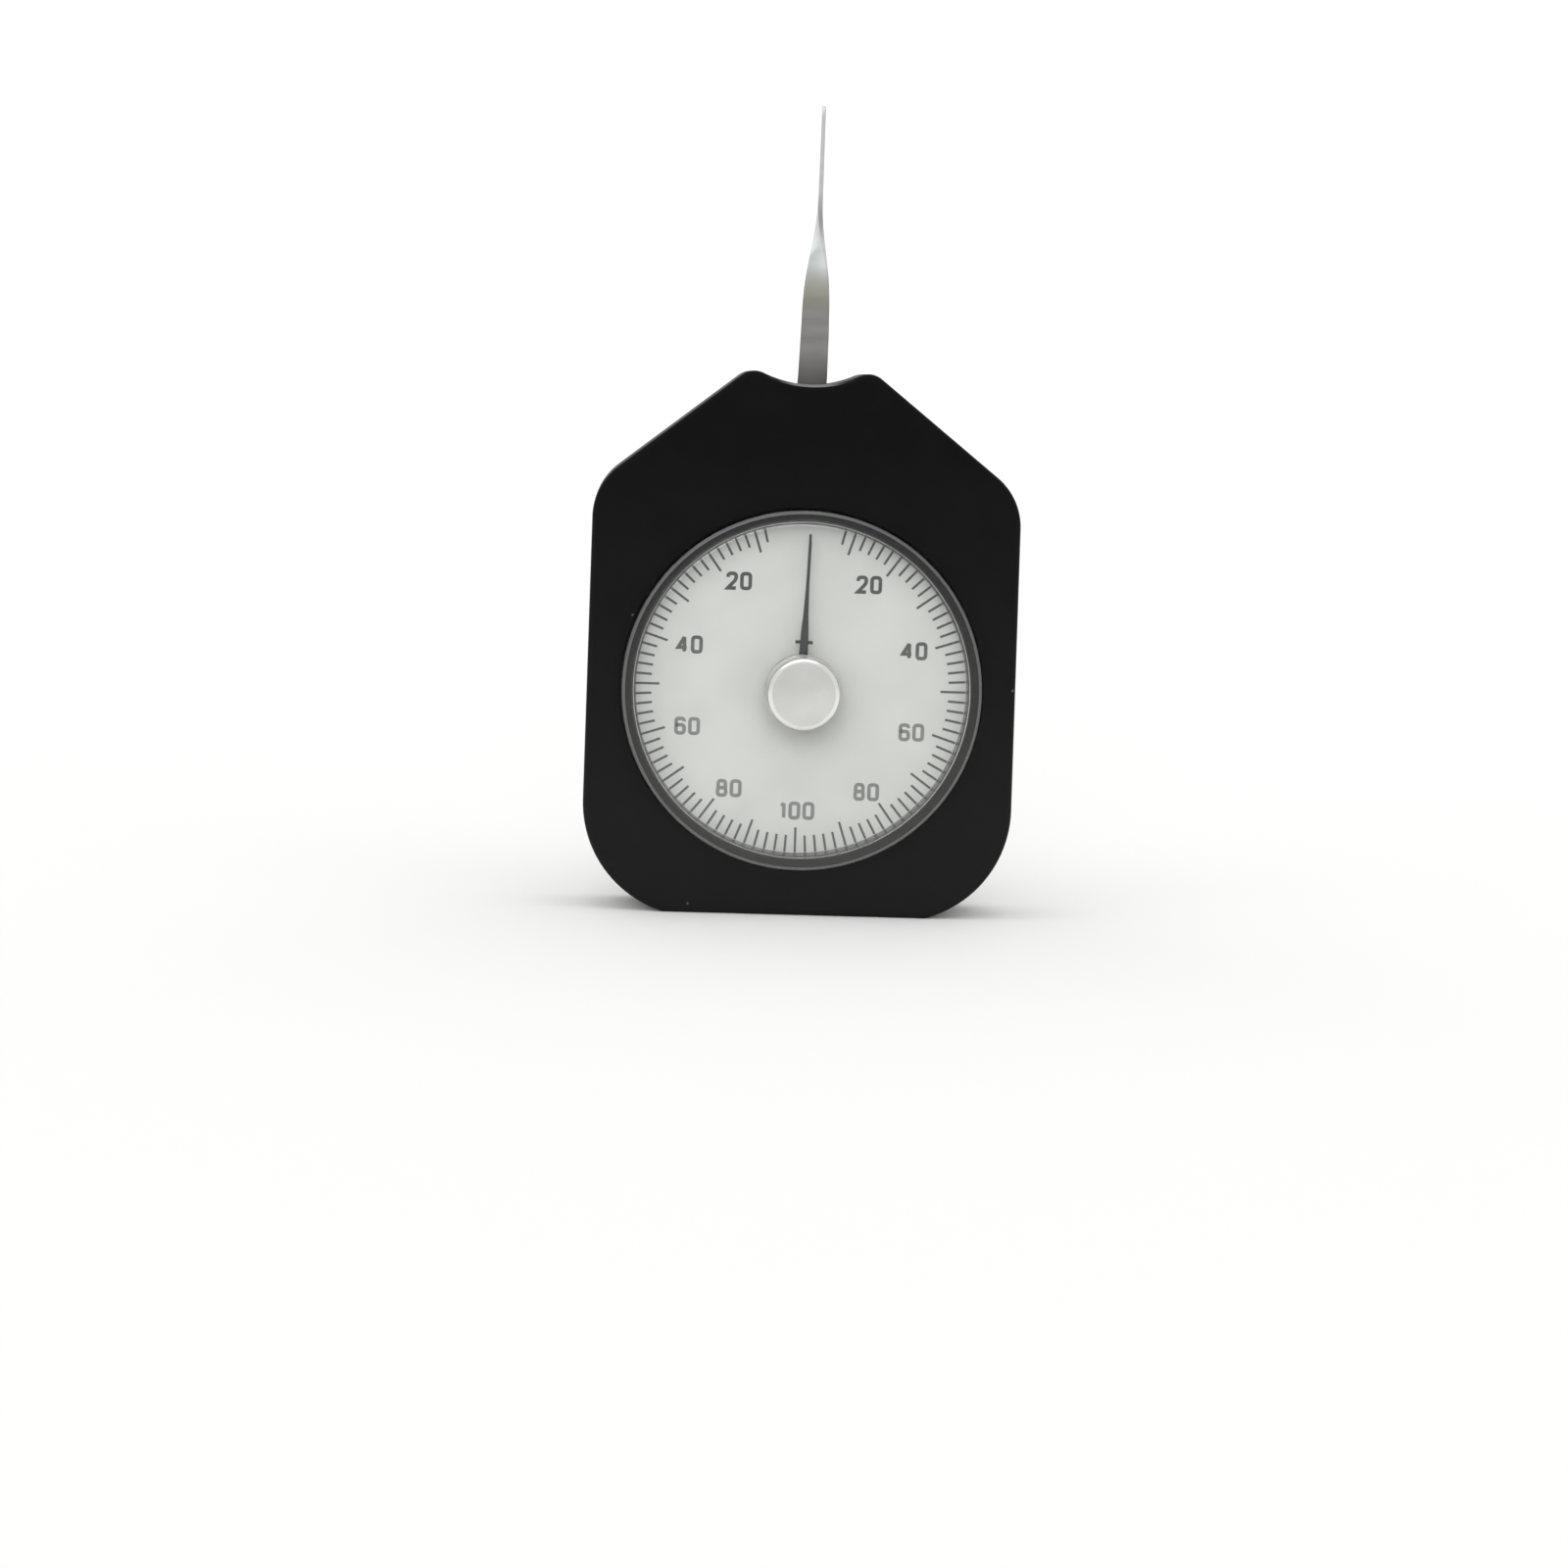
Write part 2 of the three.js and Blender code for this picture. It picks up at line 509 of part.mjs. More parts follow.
// The bore through the ledge narrows from its face to the dial
function ledgeBore() {
  const wide = LEDGE_RADIUS + LEDGE_DRAFT;
  const past = FRONT_FACE_Y - OVERRUN;
  const end = DIAL_BACK_Y + OVERRUN;
  const profile = [
    [0, past],
    [wide, past],
    [wide, LEDGE_FACE_Y],
    [LEDGE_RADIUS, DIAL_FACE_Y],
    [LEDGE_RADIUS, end],
    [0, end],
  ];
  return turned(profile, LARGE_ROUND).translate(DIAL_CENTRE.x, 0, DIAL_CENTRE.y);
}

function frontCase() {
  const ringRadius = (PLATE_RADIUS + CAVITY_HALF_WIDTH) / 2;
  const past = FRONT_FACE_Y - OVERRUN;
  const plateScrewEnd = FRONT_PLATE_BACK_Y - PLATE_SCREW.length - SCREW_GAP;
  let body = caseBlock().intersect(sideOfJoint(false));
  body = cut(body, slab(cavityOutline(WALL), SKIN_BACK_Y, BACK_FACE_Y));
  const bosses = BOSS_CENTRES.map((centre) =>
    cylinderAt(centre, BOSS_RADIUS, SKIN_BACK_Y - FRONT_SKIN / 2, PLUG_FACE_Y, MEDIUM_ROUND),
  );
  body = join(body, ...bosses);
  body = join(body, cylinderAt(DIAL_CENTRE, ringRadius, LEDGE_FACE_Y, DIAL_BACK_Y, LARGE_ROUND));
  body = cut(
    body,
    cylinderAt(DIAL_CENTRE, WINDOW_RADIUS, past, LEDGE_FACE_Y, LARGE_ROUND),
    ledgeBore(),
    cylinderAt(DIAL_CENTRE, DIAL_RADIUS + SEAT_GAP, DIAL_FACE_Y, DIAL_BACK_Y + OVERRUN, LARGE_ROUND),
    leverSlot(),
    ...BOSS_CENTRES.map((centre) =>
      screwHole(COVER_SCREW, centre, BACK_FACE_Y - COVER_SCREW.length - COVER_THICKNESS, BACK_FACE_Y),
    ),
    ...PLATE_SCREW_CENTRES.map((centre) =>
      screwHole(PLATE_SCREW, centre, plateScrewEnd, DIAL_BACK_Y + OVERRUN),
    ),
  );
  return geometryOf(body);
}

function backCover() {
  const head = COVER_SCREW.head + SEAT_GAP;
  const plug = slab(cavityOutline(WALL + SEAT_GAP), PLUG_FACE_Y, COVER_JOINT_Y + COVER_THICKNESS / 2);
  const body = join(caseBlock().intersect(sideOfJoint(true)), plug);
  const pocket = slab(plateOutline(SEAT_GAP), PLUG_FACE_Y - OVERRUN, COVER_JOINT_Y);
  const screwCuts = BOSS_CENTRES.flatMap((centre) => [
    screwHole(COVER_SCREW, centre, PLUG_FACE_Y - OVERRUN, BACK_FACE_Y + OVERRUN),
    cylinderAt(centre, head, BACK_FACE_Y - COUNTERBORE_DEPTH, BACK_FACE_Y + OVERRUN, MEDIUM_ROUND),
  ]);
  return geometryOf(cut(body, pocket, ...screwCuts));
}

// A part drawn about its own axis is placed in a group at the dial's centre or at the lever's pivot
function groupAt(parent, centre) {
  const group = new THREE.Group();
  group.position.set(centre.x, 0, centre.y);
  parent.add(group);
  return group;
}

function addScrews(parent, name, screw, centres, seat, facing) {
  centres.forEach((centre, number) => {
    const mesh = piece(parent, `${name}_${number + 1}`, screwGeometry(screw, number), "screwSteel");
    mesh.position.set(centre.x, seat, centre.y);
    mesh.rotation.z = facing === "back" ? Math.PI : 0;
  });
}

function addCase(parent) {
  piece(parent, "front_case", frontCase(), "blackPlastic");
  piece(parent, "back_cover", backCover(), "blackPlastic");
  addScrews(parent, "cover_screw", COVER_SCREW, BOSS_CENTRES, BACK_FACE_Y - COUNTERBORE_DEPTH, "back");
}

function addCrystal(parent) {
  const radius = WINDOW_RADIUS - SEAT_GAP;
  const hole = BUSH_RADIUS + FIT_GAP;
  const inner = radius - CRYSTAL_SKIRT;
  const crystal = turned(
    [
      [hole, CRYSTAL_FACE_Y],
      [radius - CRYSTAL_BEVEL, CRYSTAL_FACE_Y],
      [radius, CRYSTAL_FACE_Y + CRYSTAL_BEVEL],
      [radius, LEDGE_FACE_Y],
      [inner, LEDGE_FACE_Y],
      [inner, CRYSTAL_INNER_Y],
      [hole, CRYSTAL_INNER_Y],
    ],
    LARGE_ROUND,
  );
  const bore = SHAFT_RADIUS + FIT_GAP;
  const bush = turned(
    [
      [bore, BUSH_FLANGE_FACE_Y],
      [BUSH_FLANGE_RADIUS, BUSH_FLANGE_FACE_Y],
      [BUSH_FLANGE_RADIUS, CRYSTAL_FACE_Y],
      [BUSH_RADIUS, CRYSTAL_FACE_Y],
      [BUSH_RADIUS, BUSH_END_Y],
      [bore, BUSH_END_Y],
    ],
    MEDIUM_ROUND,
  );
  const washerFace = BUSH_FLANGE_FACE_Y - WASHER_THICKNESS;
  const washer = tube(bore, bore + WASHER_WIDTH, washerFace, BUSH_FLANGE_FACE_Y, MEDIUM_ROUND);
  piece(parent, "crystal", crystal, "crystal");
  piece(parent, "crystal_bush", bush, "satinChrome");
  piece(parent, "friction_washer", washer, "springSteel");
}

// A hand's blade, pointing up from its hub, wider at the hub and fine from the waist to the tip
function handOutline(length, tail) {
  const right = [
    point(HAND_ROOT_WIDTH / 2, -tail),
    point(HAND_ROOT_WIDTH / 2, 0),
    point(HAND_WAIST_WIDTH / 2, HAND_WAIST),
    point(HAND_TIP_WIDTH / 2, length),
  ];
  return [...right, ...mirrored(right)];
}

function addHand(parent, name, length, tail, front) {
  const blade = slab(handOutline(length, tail), front, front + HAND_THICKNESS);
  const hand = piece(parent, name, blade, "handBlack");
  hand.rotation.y = radians(HANDS_AT_REST);
  return hand;
}

function addPeakHand(parent) {
  const bore = SHAFT_RADIUS + FIT_GAP;
  const knobFrontRadius = KNOB_RADIUS - KNOB_TAPER;
  const rimCentre = point(knobFrontRadius - KNOB_ROUND, KNOB_FACE_Y + KNOB_ROUND);
  const rim = arcPoints(rimCentre, KNOB_ROUND, -Math.PI / 2, 0, KNOB_RIM_FACETS);
  const knob = turned(
    [
      [0, KNOB_FACE_Y],
      ...rim.map(({ x, y }) => [x, y]),
      [KNOB_RADIUS, KNOB_BACK_Y],
      [bore, KNOB_BACK_Y],
      [bore, KNOB_BACK_Y - SHAFT_IN_KNOB],
      [0, KNOB_BACK_Y - SHAFT_IN_KNOB],
    ],
    MEDIUM_ROUND,
  );
  const hub = turned(
    [
      [bore, PEAK_BOSS_FACE_Y],
      [PEAK_BOSS_RADIUS, PEAK_BOSS_FACE_Y],
      [PEAK_BOSS_RADIUS, PEAK_DISC_FACE_Y],
      [PEAK_DISC_RADIUS, PEAK_DISC_FACE_Y],
      [PEAK_DISC_RADIUS, PEAK_DISC_BACK_Y],
      [bore, PEAK_DISC_BACK_Y],
    ],
    MEDIUM_ROUND,
  );
  const shaftFront = KNOB_BACK_Y - SHAFT_IN_KNOB + FIT_GAP;
  const clip = tube(bore, CLIP_RADIUS, CLIP_BACK_Y - CLIP_THICKNESS, CLIP_BACK_Y, MEDIUM_ROUND);
  piece(parent, "reset_knob", knob, "satinChrome");
  piece(parent, "knob_shaft", rod(SHAFT_RADIUS, shaftFront, PEAK_DISC_BACK_Y, MEDIUM_ROUND), "springSteel");
  piece(parent, "shaft_clip", clip, "springSteel");
  piece(parent, "peak_hub", hub, "handBlack");
  addHand(parent, "peak_hand", PEAK_HAND_LENGTH, HAND_TAIL, PEAK_DISC_BACK_Y);
}

// The small yoke on the pointer that carries the peak hand along
function peakDriver() {
  const half = DRIVER_SPAN / 2;
  const wall = DRIVER_WIDTH / 2;
  const tip = PEAK_HAND_BACK_Y + DRIVER_GAP;
  const step = POINTER_FACE_Y - DRIVER_WIDTH;
  const outline = [
    point(-half, POINTER_FACE_Y),
    point(-half, tip),
    point(wall - half, tip),
    point(wall - half, step),
    point(half - wall, step),
    point(half - wall, tip),
    point(half, tip),
    point(half, POINTER_FACE_Y),
  ];
  const geometry = new THREE.ExtrudeGeometry(new THREE.Shape(outline), {
    depth: DRIVER_WIDTH,
    bevelEnabled: false,
  });
  return geometry.translate(0, 0, DRIVER_RADIUS - DRIVER_WIDTH / 2);
}

function addPointer(parent) {
  const bore = PINION_ARBOR_RADIUS + FIT_GAP;
  const hubBack = DIAL_FACE_Y - POINTER_GAP;
  const hub = tube(bore, POINTER_HUB_RADIUS, POINTER_HUB_FACE_Y, hubBack, MEDIUM_ROUND);
  const root = PINION_PITCH_RADIUS - TOOTH_FALL_SHARE * GEAR_MODULE;
  const pinionFront = SECTOR_FACE_Y - PINION_OVERHANG;
  const pinionBack = COLLET_FACE_Y + PINION_OVERHANG;
  const gapUp = Math.PI / 2 + Math.PI / PINION_TEETH;
  const teeth = toothPoints(PINION_PITCH_RADIUS, PINION_TEETH, 0, PINION_TEETH - 1, gapUp);
  const arbor = join(
    solid(rod(PINION_ARBOR_RADIUS, POINTER_HUB_FACE_Y, BACK_PLATE_BACK_Y - ARBOR_END_GAP, SMALL_ROUND)),
    rod(root - FIT_GAP, pinionFront, pinionBack, SMALL_ROUND),
    slab(teeth, pinionFront, pinionBack),
  );
  const colletBack = COLLET_FACE_Y + COLLET_LENGTH;
  const collet = tube(bore, bore + HAIRSPRING_COLLET_WALL, pinionBack, colletBack, SMALL_ROUND);
  piece(parent, "pinion_arbor", geometryOf(arbor), "springSteel");
  piece(parent, "hairspring_collet", collet, "brass");
  piece(parent, "pointer_hub", hub, "brass");
  const hand = addHand(parent, "pointer", POINTER_LENGTH, HAND_TAIL, POINTER_FACE_Y);
  const driver = piece(parent, "peak_driver", peakDriver(), "handBlack");
  driver.rotation.copy(hand.rotation);
}

// Movement

const bushRadius = (bore) => bore + FIT_GAP + BUSH_WALL;

// A flanged bush in a plate, its collar on the side that faces the gears
function bushGeometry(shaft, plateFront, collarSide) {
  const bore = shaft + FIT_GAP;
  const outer = bushRadius(shaft);
  const collar = outer + BUSH_COLLAR;
  const plateBack = plateFront + PLATE_THICKNESS;
  const profile =
    collarSide === "back"
      ? [
          [bore, plateFront],
          [outer, plateFront],
          [outer, plateBack],
          [collar, plateBack],
          [collar, plateBack + BUSH_COLLAR_THICKNESS],
          [bore, plateBack + BUSH_COLLAR_THICKNESS],
        ]
      : [
          [bore, plateFront - BUSH_COLLAR_THICKNESS],
          [collar, plateFront - BUSH_COLLAR_THICKNESS],
          [collar, plateFront],
          [outer, plateFront],
          [outer, plateBack],
          [bore, plateBack],
        ];
  return turned(profile, SMALL_ROUND);
}

const bushHoles = () => [
  circlePoints(DIAL_CENTRE, bushRadius(PINION_ARBOR_RADIUS) + FIT_GAP, SMALL_ROUND),
  circlePoints(PIVOT, bushRadius(ARBOR_RADIUS) + FIT_GAP, SMALL_ROUND),
];

function backPlateOutline() {
  const right = [
    point(BACK_PLATE_FOOT_HALF_WIDTH, DIAL_HEIGHT - BACK_PLATE_DROP),
    point(BACK_PLATE_HALF_WIDTH, DIAL_HEIGHT - LOWER_PILLAR_DROP),
    point(BACK_PLATE_HALF_WIDTH, PIVOT_HEIGHT + UPPER_PILLAR_RISE),
    point(TONGUE_TOP_HALF_WIDTH, PIVOT_HEIGHT + TONGUE_RISE),
  ];
  return [...right, ...mirrored(right)];
}

function backPlateWindow() {
  const half = BACK_PLATE_WINDOW_WIDTH / 2;
  const [low, high] = BACK_PLATE_WINDOW_SHARES.map((share) =>
    THREE.MathUtils.lerp(DIAL_HEIGHT, PIVOT_HEIGHT, share),
  );
  return [point(-half, low), point(half, low), point(half, high), point(-half, high)];
}

function addPlates(parent) {
  const holeAt = (screw) => (centre) => circlePoints(centre, screw.radius + SCREW_GAP, SMALL_ROUND);
  const frontPlate = slab(plateOutline(0), DIAL_BACK_Y, FRONT_PLATE_BACK_Y, [
    ...bushHoles(),
    ...PLATE_SCREW_CENTRES.map(holeAt(PLATE_SCREW)),
  ]);
  const backPlate = slab(backPlateOutline(), BACK_PLATE_FACE_Y, BACK_PLATE_BACK_Y, [
    ...bushHoles(),
    ...PILLAR_CENTRES.map(holeAt(PILLAR_SCREW)),
    backPlateWindow(),
  ]);
  const dialBore = PINION_ARBOR_RADIUS + DIAL_BORE_GAP;
  const dial = slab(circlePoints(DIAL_CENTRE, DIAL_RADIUS, LARGE_ROUND), DIAL_FACE_Y, DIAL_BACK_Y, [
    circlePoints(DIAL_CENTRE, dialBore, SMALL_ROUND),
  ]);
  piece(parent, "dial_plate", dial, "dialWhite");
  piece(parent, "movement_front_plate", frontPlate, "brass");
  piece(parent, "movement_back_plate", backPlate, "brass");
  addScrews(parent, "movement_screw", PLATE_SCREW, PLATE_SCREW_CENTRES, FRONT_PLATE_BACK_Y, "back");
  addScrews(parent, "pillar_screw", PILLAR_SCREW, PILLAR_CENTRES, BACK_PLATE_BACK_Y, "back");
}

// Pillars hold the plates apart. Each is drilled from the back for its screw.
function addPillars(parent) {
  const hole = PILLAR_SCREW.radius + SCREW_GAP;
  const bottom = BACK_PLATE_BACK_Y - PILLAR_SCREW.length - SCREW_GAP;
  const pillar = turned(
    [
      [0, FRONT_PLATE_BACK_Y],
      [PILLAR_RADIUS, FRONT_PLATE_BACK_Y],
      [PILLAR_RADIUS, BACK_PLATE_FACE_Y],
      [hole, BACK_PLATE_FACE_Y],
      [hole, bottom],
      [0, bottom],
    ],
    SMALL_ROUND,
  );
  PILLAR_CENTRES.forEach((centre, number) => {
    const mesh = piece(parent, `pillar_${number + 1}`, pillar.clone(), "brass");
    mesh.position.set(centre.x, 0, centre.y);
  });
}

function addBushes(dialGroup, pivotGroup) {
  const front = DIAL_BACK_Y;
  const back = BACK_PLATE_FACE_Y;
  piece(dialGroup, "pinion_bush_front", bushGeometry(PINION_ARBOR_RADIUS, front, "back"), "brass");
  piece(dialGroup, "pinion_bush_back", bushGeometry(PINION_ARBOR_RADIUS, back, "front"), "brass");
  piece(pivotGroup, "lever_bush_front", bushGeometry(ARBOR_RADIUS, front, "back"), "brass");
  piece(pivotGroup, "lever_bush_back", bushGeometry(ARBOR_RADIUS, back, "front"), "brass");
}

// Two pins that the lever's arm meets at either end of its swing
function addStopPins(pivotGroup) {
  const beside = ARM_HALF_WIDTH + STOP_GAP + STOP_PIN_RADIUS;
  const pin = point(beside, STOP_PIN_RISE).rotateAround(point(0, 0), -LEVER_SWING);
  [1, -1].forEach((side, number) => {
    const rodGeometry = rod(STOP_PIN_RADIUS, FRONT_PLATE_BACK_Y, SECTOR_FACE_Y, SMALL_ROUND);
    const mesh = piece(pivotGroup, `stop_pin_${number + 1}`, rodGeometry, "springSteel");
    mesh.position.set(side * pin.x, 0, pin.y);
  });
}

// A flat spiral spring about a collet, and the stud on the back plate that holds its outer end
function addSpiral(parent, name, { collet, outer, turns, strip, width, angle, middle }) {
  const inner = collet + FIT_GAP + strip / 2;
  const outline = spiralPoints(inner, outer, turns, strip, radians(angle));
  piece(parent, name, slab(outline, middle - width / 2, middle + width / 2), "springSteel");
  const studGeometry = rod(STUD_RADIUS, middle - width / 2, BACK_PLATE_FACE_Y, SMALL_ROUND);
  const stud = piece(parent, `${name}_stud`, studGeometry, "brass");
  const place = polar(outer + strip / 2 + FIT_GAP + STUD_RADIUS, radians(angle));
  stud.position.set(place.x, 0, place.y);
}

function addSprings(dialGroup, pivotGroup) {
  addSpiral(pivotGroup, "measuring_spring", {
    collet: ARBOR_RADIUS + FIT_GAP + SPRING_COLLET_WALL,
    outer: SPRING_RADIUS,
    turns: SPRING_TURNS,
    strip: SPRING_STRIP,
    width: SPRING_WIDTH,
    angle: SPRING_STUD_ANGLE,
    middle: COLLET_FACE_Y + COLLET_LENGTH / 2,
  });
  const colletFront = COLLET_FACE_Y + PINION_OVERHANG;
  addSpiral(dialGroup, "hairspring", {
    collet: PINION_ARBOR_RADIUS + FIT_GAP + HAIRSPRING_COLLET_WALL,
    outer: HAIRSPRING_RADIUS,
    turns: HAIRSPRING_TURNS,
    strip: HAIRSPRING_STRIP,
    width: HAIRSPRING_WIDTH,
    angle: HAIRSPRING_STUD_ANGLE,
    middle: (colletFront + COLLET_FACE_Y + COLLET_LENGTH) / 2,
  });
}

// Lever, drawn about its pivot

function sectorOutline() {
  const half = (SECTOR_TEETH - 1) / 2;
  const teeth = toothPoints(SECTOR_PITCH_RADIUS, SECTOR_WHEEL_TEETH, -half, half, -Math.PI / 2);
  const edge = teeth[teeth.length - 1].angle() - 2 * Math.PI;
  const tangent = edge + Math.PI / 2 - Math.asin(HUB_RADIUS / SECTOR_PITCH_RADIUS) / 2;
  const middle = point(0, 0);
  return [...teeth, ...arcPoints(middle, HUB_RADIUS, tangent, Math.PI - tangent, MEDIUM_ROUND / 2)];
}

// The opening that leaves the sector with two spokes and a rim
function sectorWindow() {
  const outer = SECTOR_PITCH_RADIUS - SECTOR_RIM;
  const half = (Math.PI * SECTOR_TEETH) / SECTOR_WHEEL_TEETH;
  const spoke = (radius) => half - SECTOR_SPOKE / radius;
  const down = -Math.PI / 2;
  const middle = point(0, 0);
  return [
    ...arcPoints(middle, outer, down - spoke(outer), down + spoke(outer), SECTOR_WINDOW_FACETS),
    polar(SECTOR_HOLE_START, down + spoke(SECTOR_HOLE_START) / 2),
    polar(SECTOR_HOLE_START, down - spoke(SECTOR_HOLE_START) / 2),
  ];
}

function clampOutline(foot) {
  return [
    point(-ARM_HALF_WIDTH, foot),
    point(ARM_HALF_WIDTH, foot),
    point(ARM_HALF_WIDTH, ARM_LENGTH),
    point(-ARM_HALF_WIDTH, ARM_LENGTH),
  ];
}

function holderOutline() {
  const shoulder = Math.acos(ARM_HALF_WIDTH / HUB_RADIUS);
  return [
    ...arcPoints(point(0, 0), HUB_RADIUS, Math.PI - shoulder, 2 * Math.PI + shoulder, MEDIUM_ROUND / 2),
    ...clampOutline(ARM_LENGTH).slice(2),
  ];
}

// Half width, thickness, twist and sideways shift of the lever's strip at a height above the pivot
function leverSection(height) {
  const { smoothstep, mapLinear, clamp } = THREE.MathUtils;
  const between = (low, high, from, to) => mapLinear(clamp(height, low, high), low, high, from, to);
  const bladeEnd = LEVER_LENGTH - TIP_ROUND;
  let shift = between(ARM_LENGTH, TWIST_START, 0, LEVER_SET);
  if (height > TWIST_START) shift = between(TWIST_START, LEVER_LENGTH, LEVER_SET, LEVER_LEAN);
  let width = between(ARM_LENGTH, TWIST_START, LEVER_FOOT_WIDTH, LEVER_NECK_WIDTH);
  if (height > TWIST_START) width = between(TWIST_START, TWIST_END, LEVER_NECK_WIDTH, LEVER_BLADE_WIDTH);
  if (height > TWIST_END) width = between(TWIST_END, bladeEnd, LEVER_BLADE_WIDTH, LEVER_TIP_WIDTH);
  if (height > bladeEnd) width = LEVER_TIP_WIDTH / 2;
  return {
    half: width / 2,
    thickness: between(TWIST_END, LEVER_LENGTH, LEVER_THICKNESS, LEVER_TIP_THICKNESS),
    twist: -smoothstep(height, TWIST_START, TWIST_END) * (Math.PI / 2),
    shift,
  };
}

// The lever is one strip: flat where it is clamped, twisted a quarter turn, then a tapering blade
function leverGeometry() {
  const { lerp } = THREE.MathUtils;
  const steps = (from, to, count) =>
    Array.from({ length: count }, (_, step) => lerp(from, to, step / count));
  const bladeEnd = LEVER_LENGTH - TIP_ROUND;
  const heights = [
    CLAMP_FOOT,
    ARM_LENGTH,
    ...steps(TWIST_START, TWIST_END, TWIST_STEPS),
    ...steps(TWIST_END, bladeEnd, BLADE_STEPS),
    bladeEnd,
    LEVER_LENGTH,
  ];
  const corners = [[-1, -1], [1, -1], [1, 1], [-1, 1]];
  const positions = heights.flatMap((height) => {
    const { half, thickness, twist, shift } = leverSection(height);
    return corners.flatMap(([across, deep]) => {
      const turnedCorner = point(across * half, (deep * thickness) / 2).rotateAround(point(0, 0), twist);
      return [turnedCorner.x + shift, turnedCorner.y, height];
    });
  });
  const index = [0, 2, 1, 0, 3, 2];
  for (let ring = 0; ring < heights.length - 1; ring += 1) {
    for (let side = 0; side < corners.length; side += 1) {
      const a = ring * corners.length + side;
      const b = ring * corners.length + ((side + 1) % corners.length);
      index.push(a, b, b + corners.length, a, b + corners.length, a + corners.length);
    }
  }
  const last = (heights.length - 1) * corners.length;
  index.push(last, last + 1, last + 2, last, last + 2, last + 3);
  const geometry = new THREE.BufferGeometry();
  geometry.setAttribute("position", new THREE.Float32BufferAttribute(positions, 3));
  geometry.setIndex(index);
  geometry.translate(0, LEVER_FACE_Y + LEVER_THICKNESS / 2, 0);
  const holes = CLAMP_SCREW_RISES.map((rise) =>
    screwHole(CLAMP_SCREW, point(0, rise), CLAMP_FACE_Y, SECTOR_FACE_Y),
  );
  return geometryOf(cut(solid(geometry), ...holes));
}

function addLever(parent) {
  const bore = () => circlePoints(point(0, 0), ARBOR_RADIUS + FIT_GAP, MEDIUM_ROUND);
  const clampHoles = CLAMP_SCREW_RISES.map((rise) =>
    circlePoints(point(0, rise), CLAMP_SCREW.radius + SCREW_GAP, SMALL_ROUND),
  );
  const arborFront = DIAL_BACK_Y + ARBOR_END_GAP;
  const arborBack = BACK_PLATE_BACK_Y - ARBOR_END_GAP;
  const holder = slab(holderOutline(), HOLDER_FACE_Y, SECTOR_FACE_Y, [bore(), ...clampHoles]);
  const clampPlate = slab(clampOutline(CLAMP_FOOT), CLAMP_FACE_Y, LEVER_FACE_Y, clampHoles);
  const sector = slab(sectorOutline(), SECTOR_FACE_Y, COLLET_FACE_Y, [bore(), sectorWindow()]);
  const colletRadius = ARBOR_RADIUS + FIT_GAP + SPRING_COLLET_WALL;
  const colletBack = COLLET_FACE_Y + COLLET_LENGTH;
  const collet = tube(ARBOR_RADIUS + FIT_GAP, colletRadius, COLLET_FACE_Y, colletBack, MEDIUM_ROUND);
  piece(parent, "lever_arbor", rod(ARBOR_RADIUS, arborFront, arborBack, MEDIUM_ROUND), "springSteel");
  piece(parent, "lever_holder", holder, "brass");
  piece(parent, "clamp_plate", clampPlate, "springSteel");
  piece(parent, "sector_gear", sector, "brass");
  piece(parent, "spring_collet", collet, "brass");
  piece(parent, "feeler_lever", leverGeometry(), "springSteel");
  const screwCentres = CLAMP_SCREW_RISES.map((rise) => point(0, rise));
  addScrews(parent, "clamp_screw", CLAMP_SCREW, screwCentres, CLAMP_FACE_Y, "front");
}

const gauge = new THREE.Group();
gauge.name = "dial_tension_gauge";
const dialGroup = groupAt(gauge, DIAL_CENTRE);
const pivotGroup = groupAt(gauge, PIVOT);
addCase(gauge);
addCrystal(dialGroup);
addPeakHand(dialGroup);
addPointer(dialGroup);
addPlates(gauge);
addPillars(gauge);
addBushes(dialGroup, pivotGroup);
addStopPins(pivotGroup);
addSprings(dialGroup, pivotGroup);
addLever(pivotGroup);

export default gauge;
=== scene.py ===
import math

import bmesh
import bpy
from mathutils import Matrix, Vector


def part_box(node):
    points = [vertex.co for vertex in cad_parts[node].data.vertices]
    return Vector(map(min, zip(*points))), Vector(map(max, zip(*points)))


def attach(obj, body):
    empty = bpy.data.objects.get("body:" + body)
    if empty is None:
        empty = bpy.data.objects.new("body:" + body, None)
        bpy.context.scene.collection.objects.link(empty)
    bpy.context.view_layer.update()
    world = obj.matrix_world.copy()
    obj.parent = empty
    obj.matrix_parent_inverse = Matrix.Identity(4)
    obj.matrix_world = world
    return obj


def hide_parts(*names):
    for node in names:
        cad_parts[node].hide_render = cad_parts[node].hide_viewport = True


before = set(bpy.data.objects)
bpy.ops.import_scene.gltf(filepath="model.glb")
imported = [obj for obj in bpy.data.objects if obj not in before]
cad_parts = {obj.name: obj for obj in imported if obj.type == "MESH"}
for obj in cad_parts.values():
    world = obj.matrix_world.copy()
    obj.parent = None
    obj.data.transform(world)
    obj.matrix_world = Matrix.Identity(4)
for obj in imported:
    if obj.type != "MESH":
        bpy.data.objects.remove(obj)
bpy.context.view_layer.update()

MM = 0.001
WELD = 0.0005 * MM  # points nearer than this become one
TOUCH = 0.001 * MM  # how near a point is to a place that it counts as being there

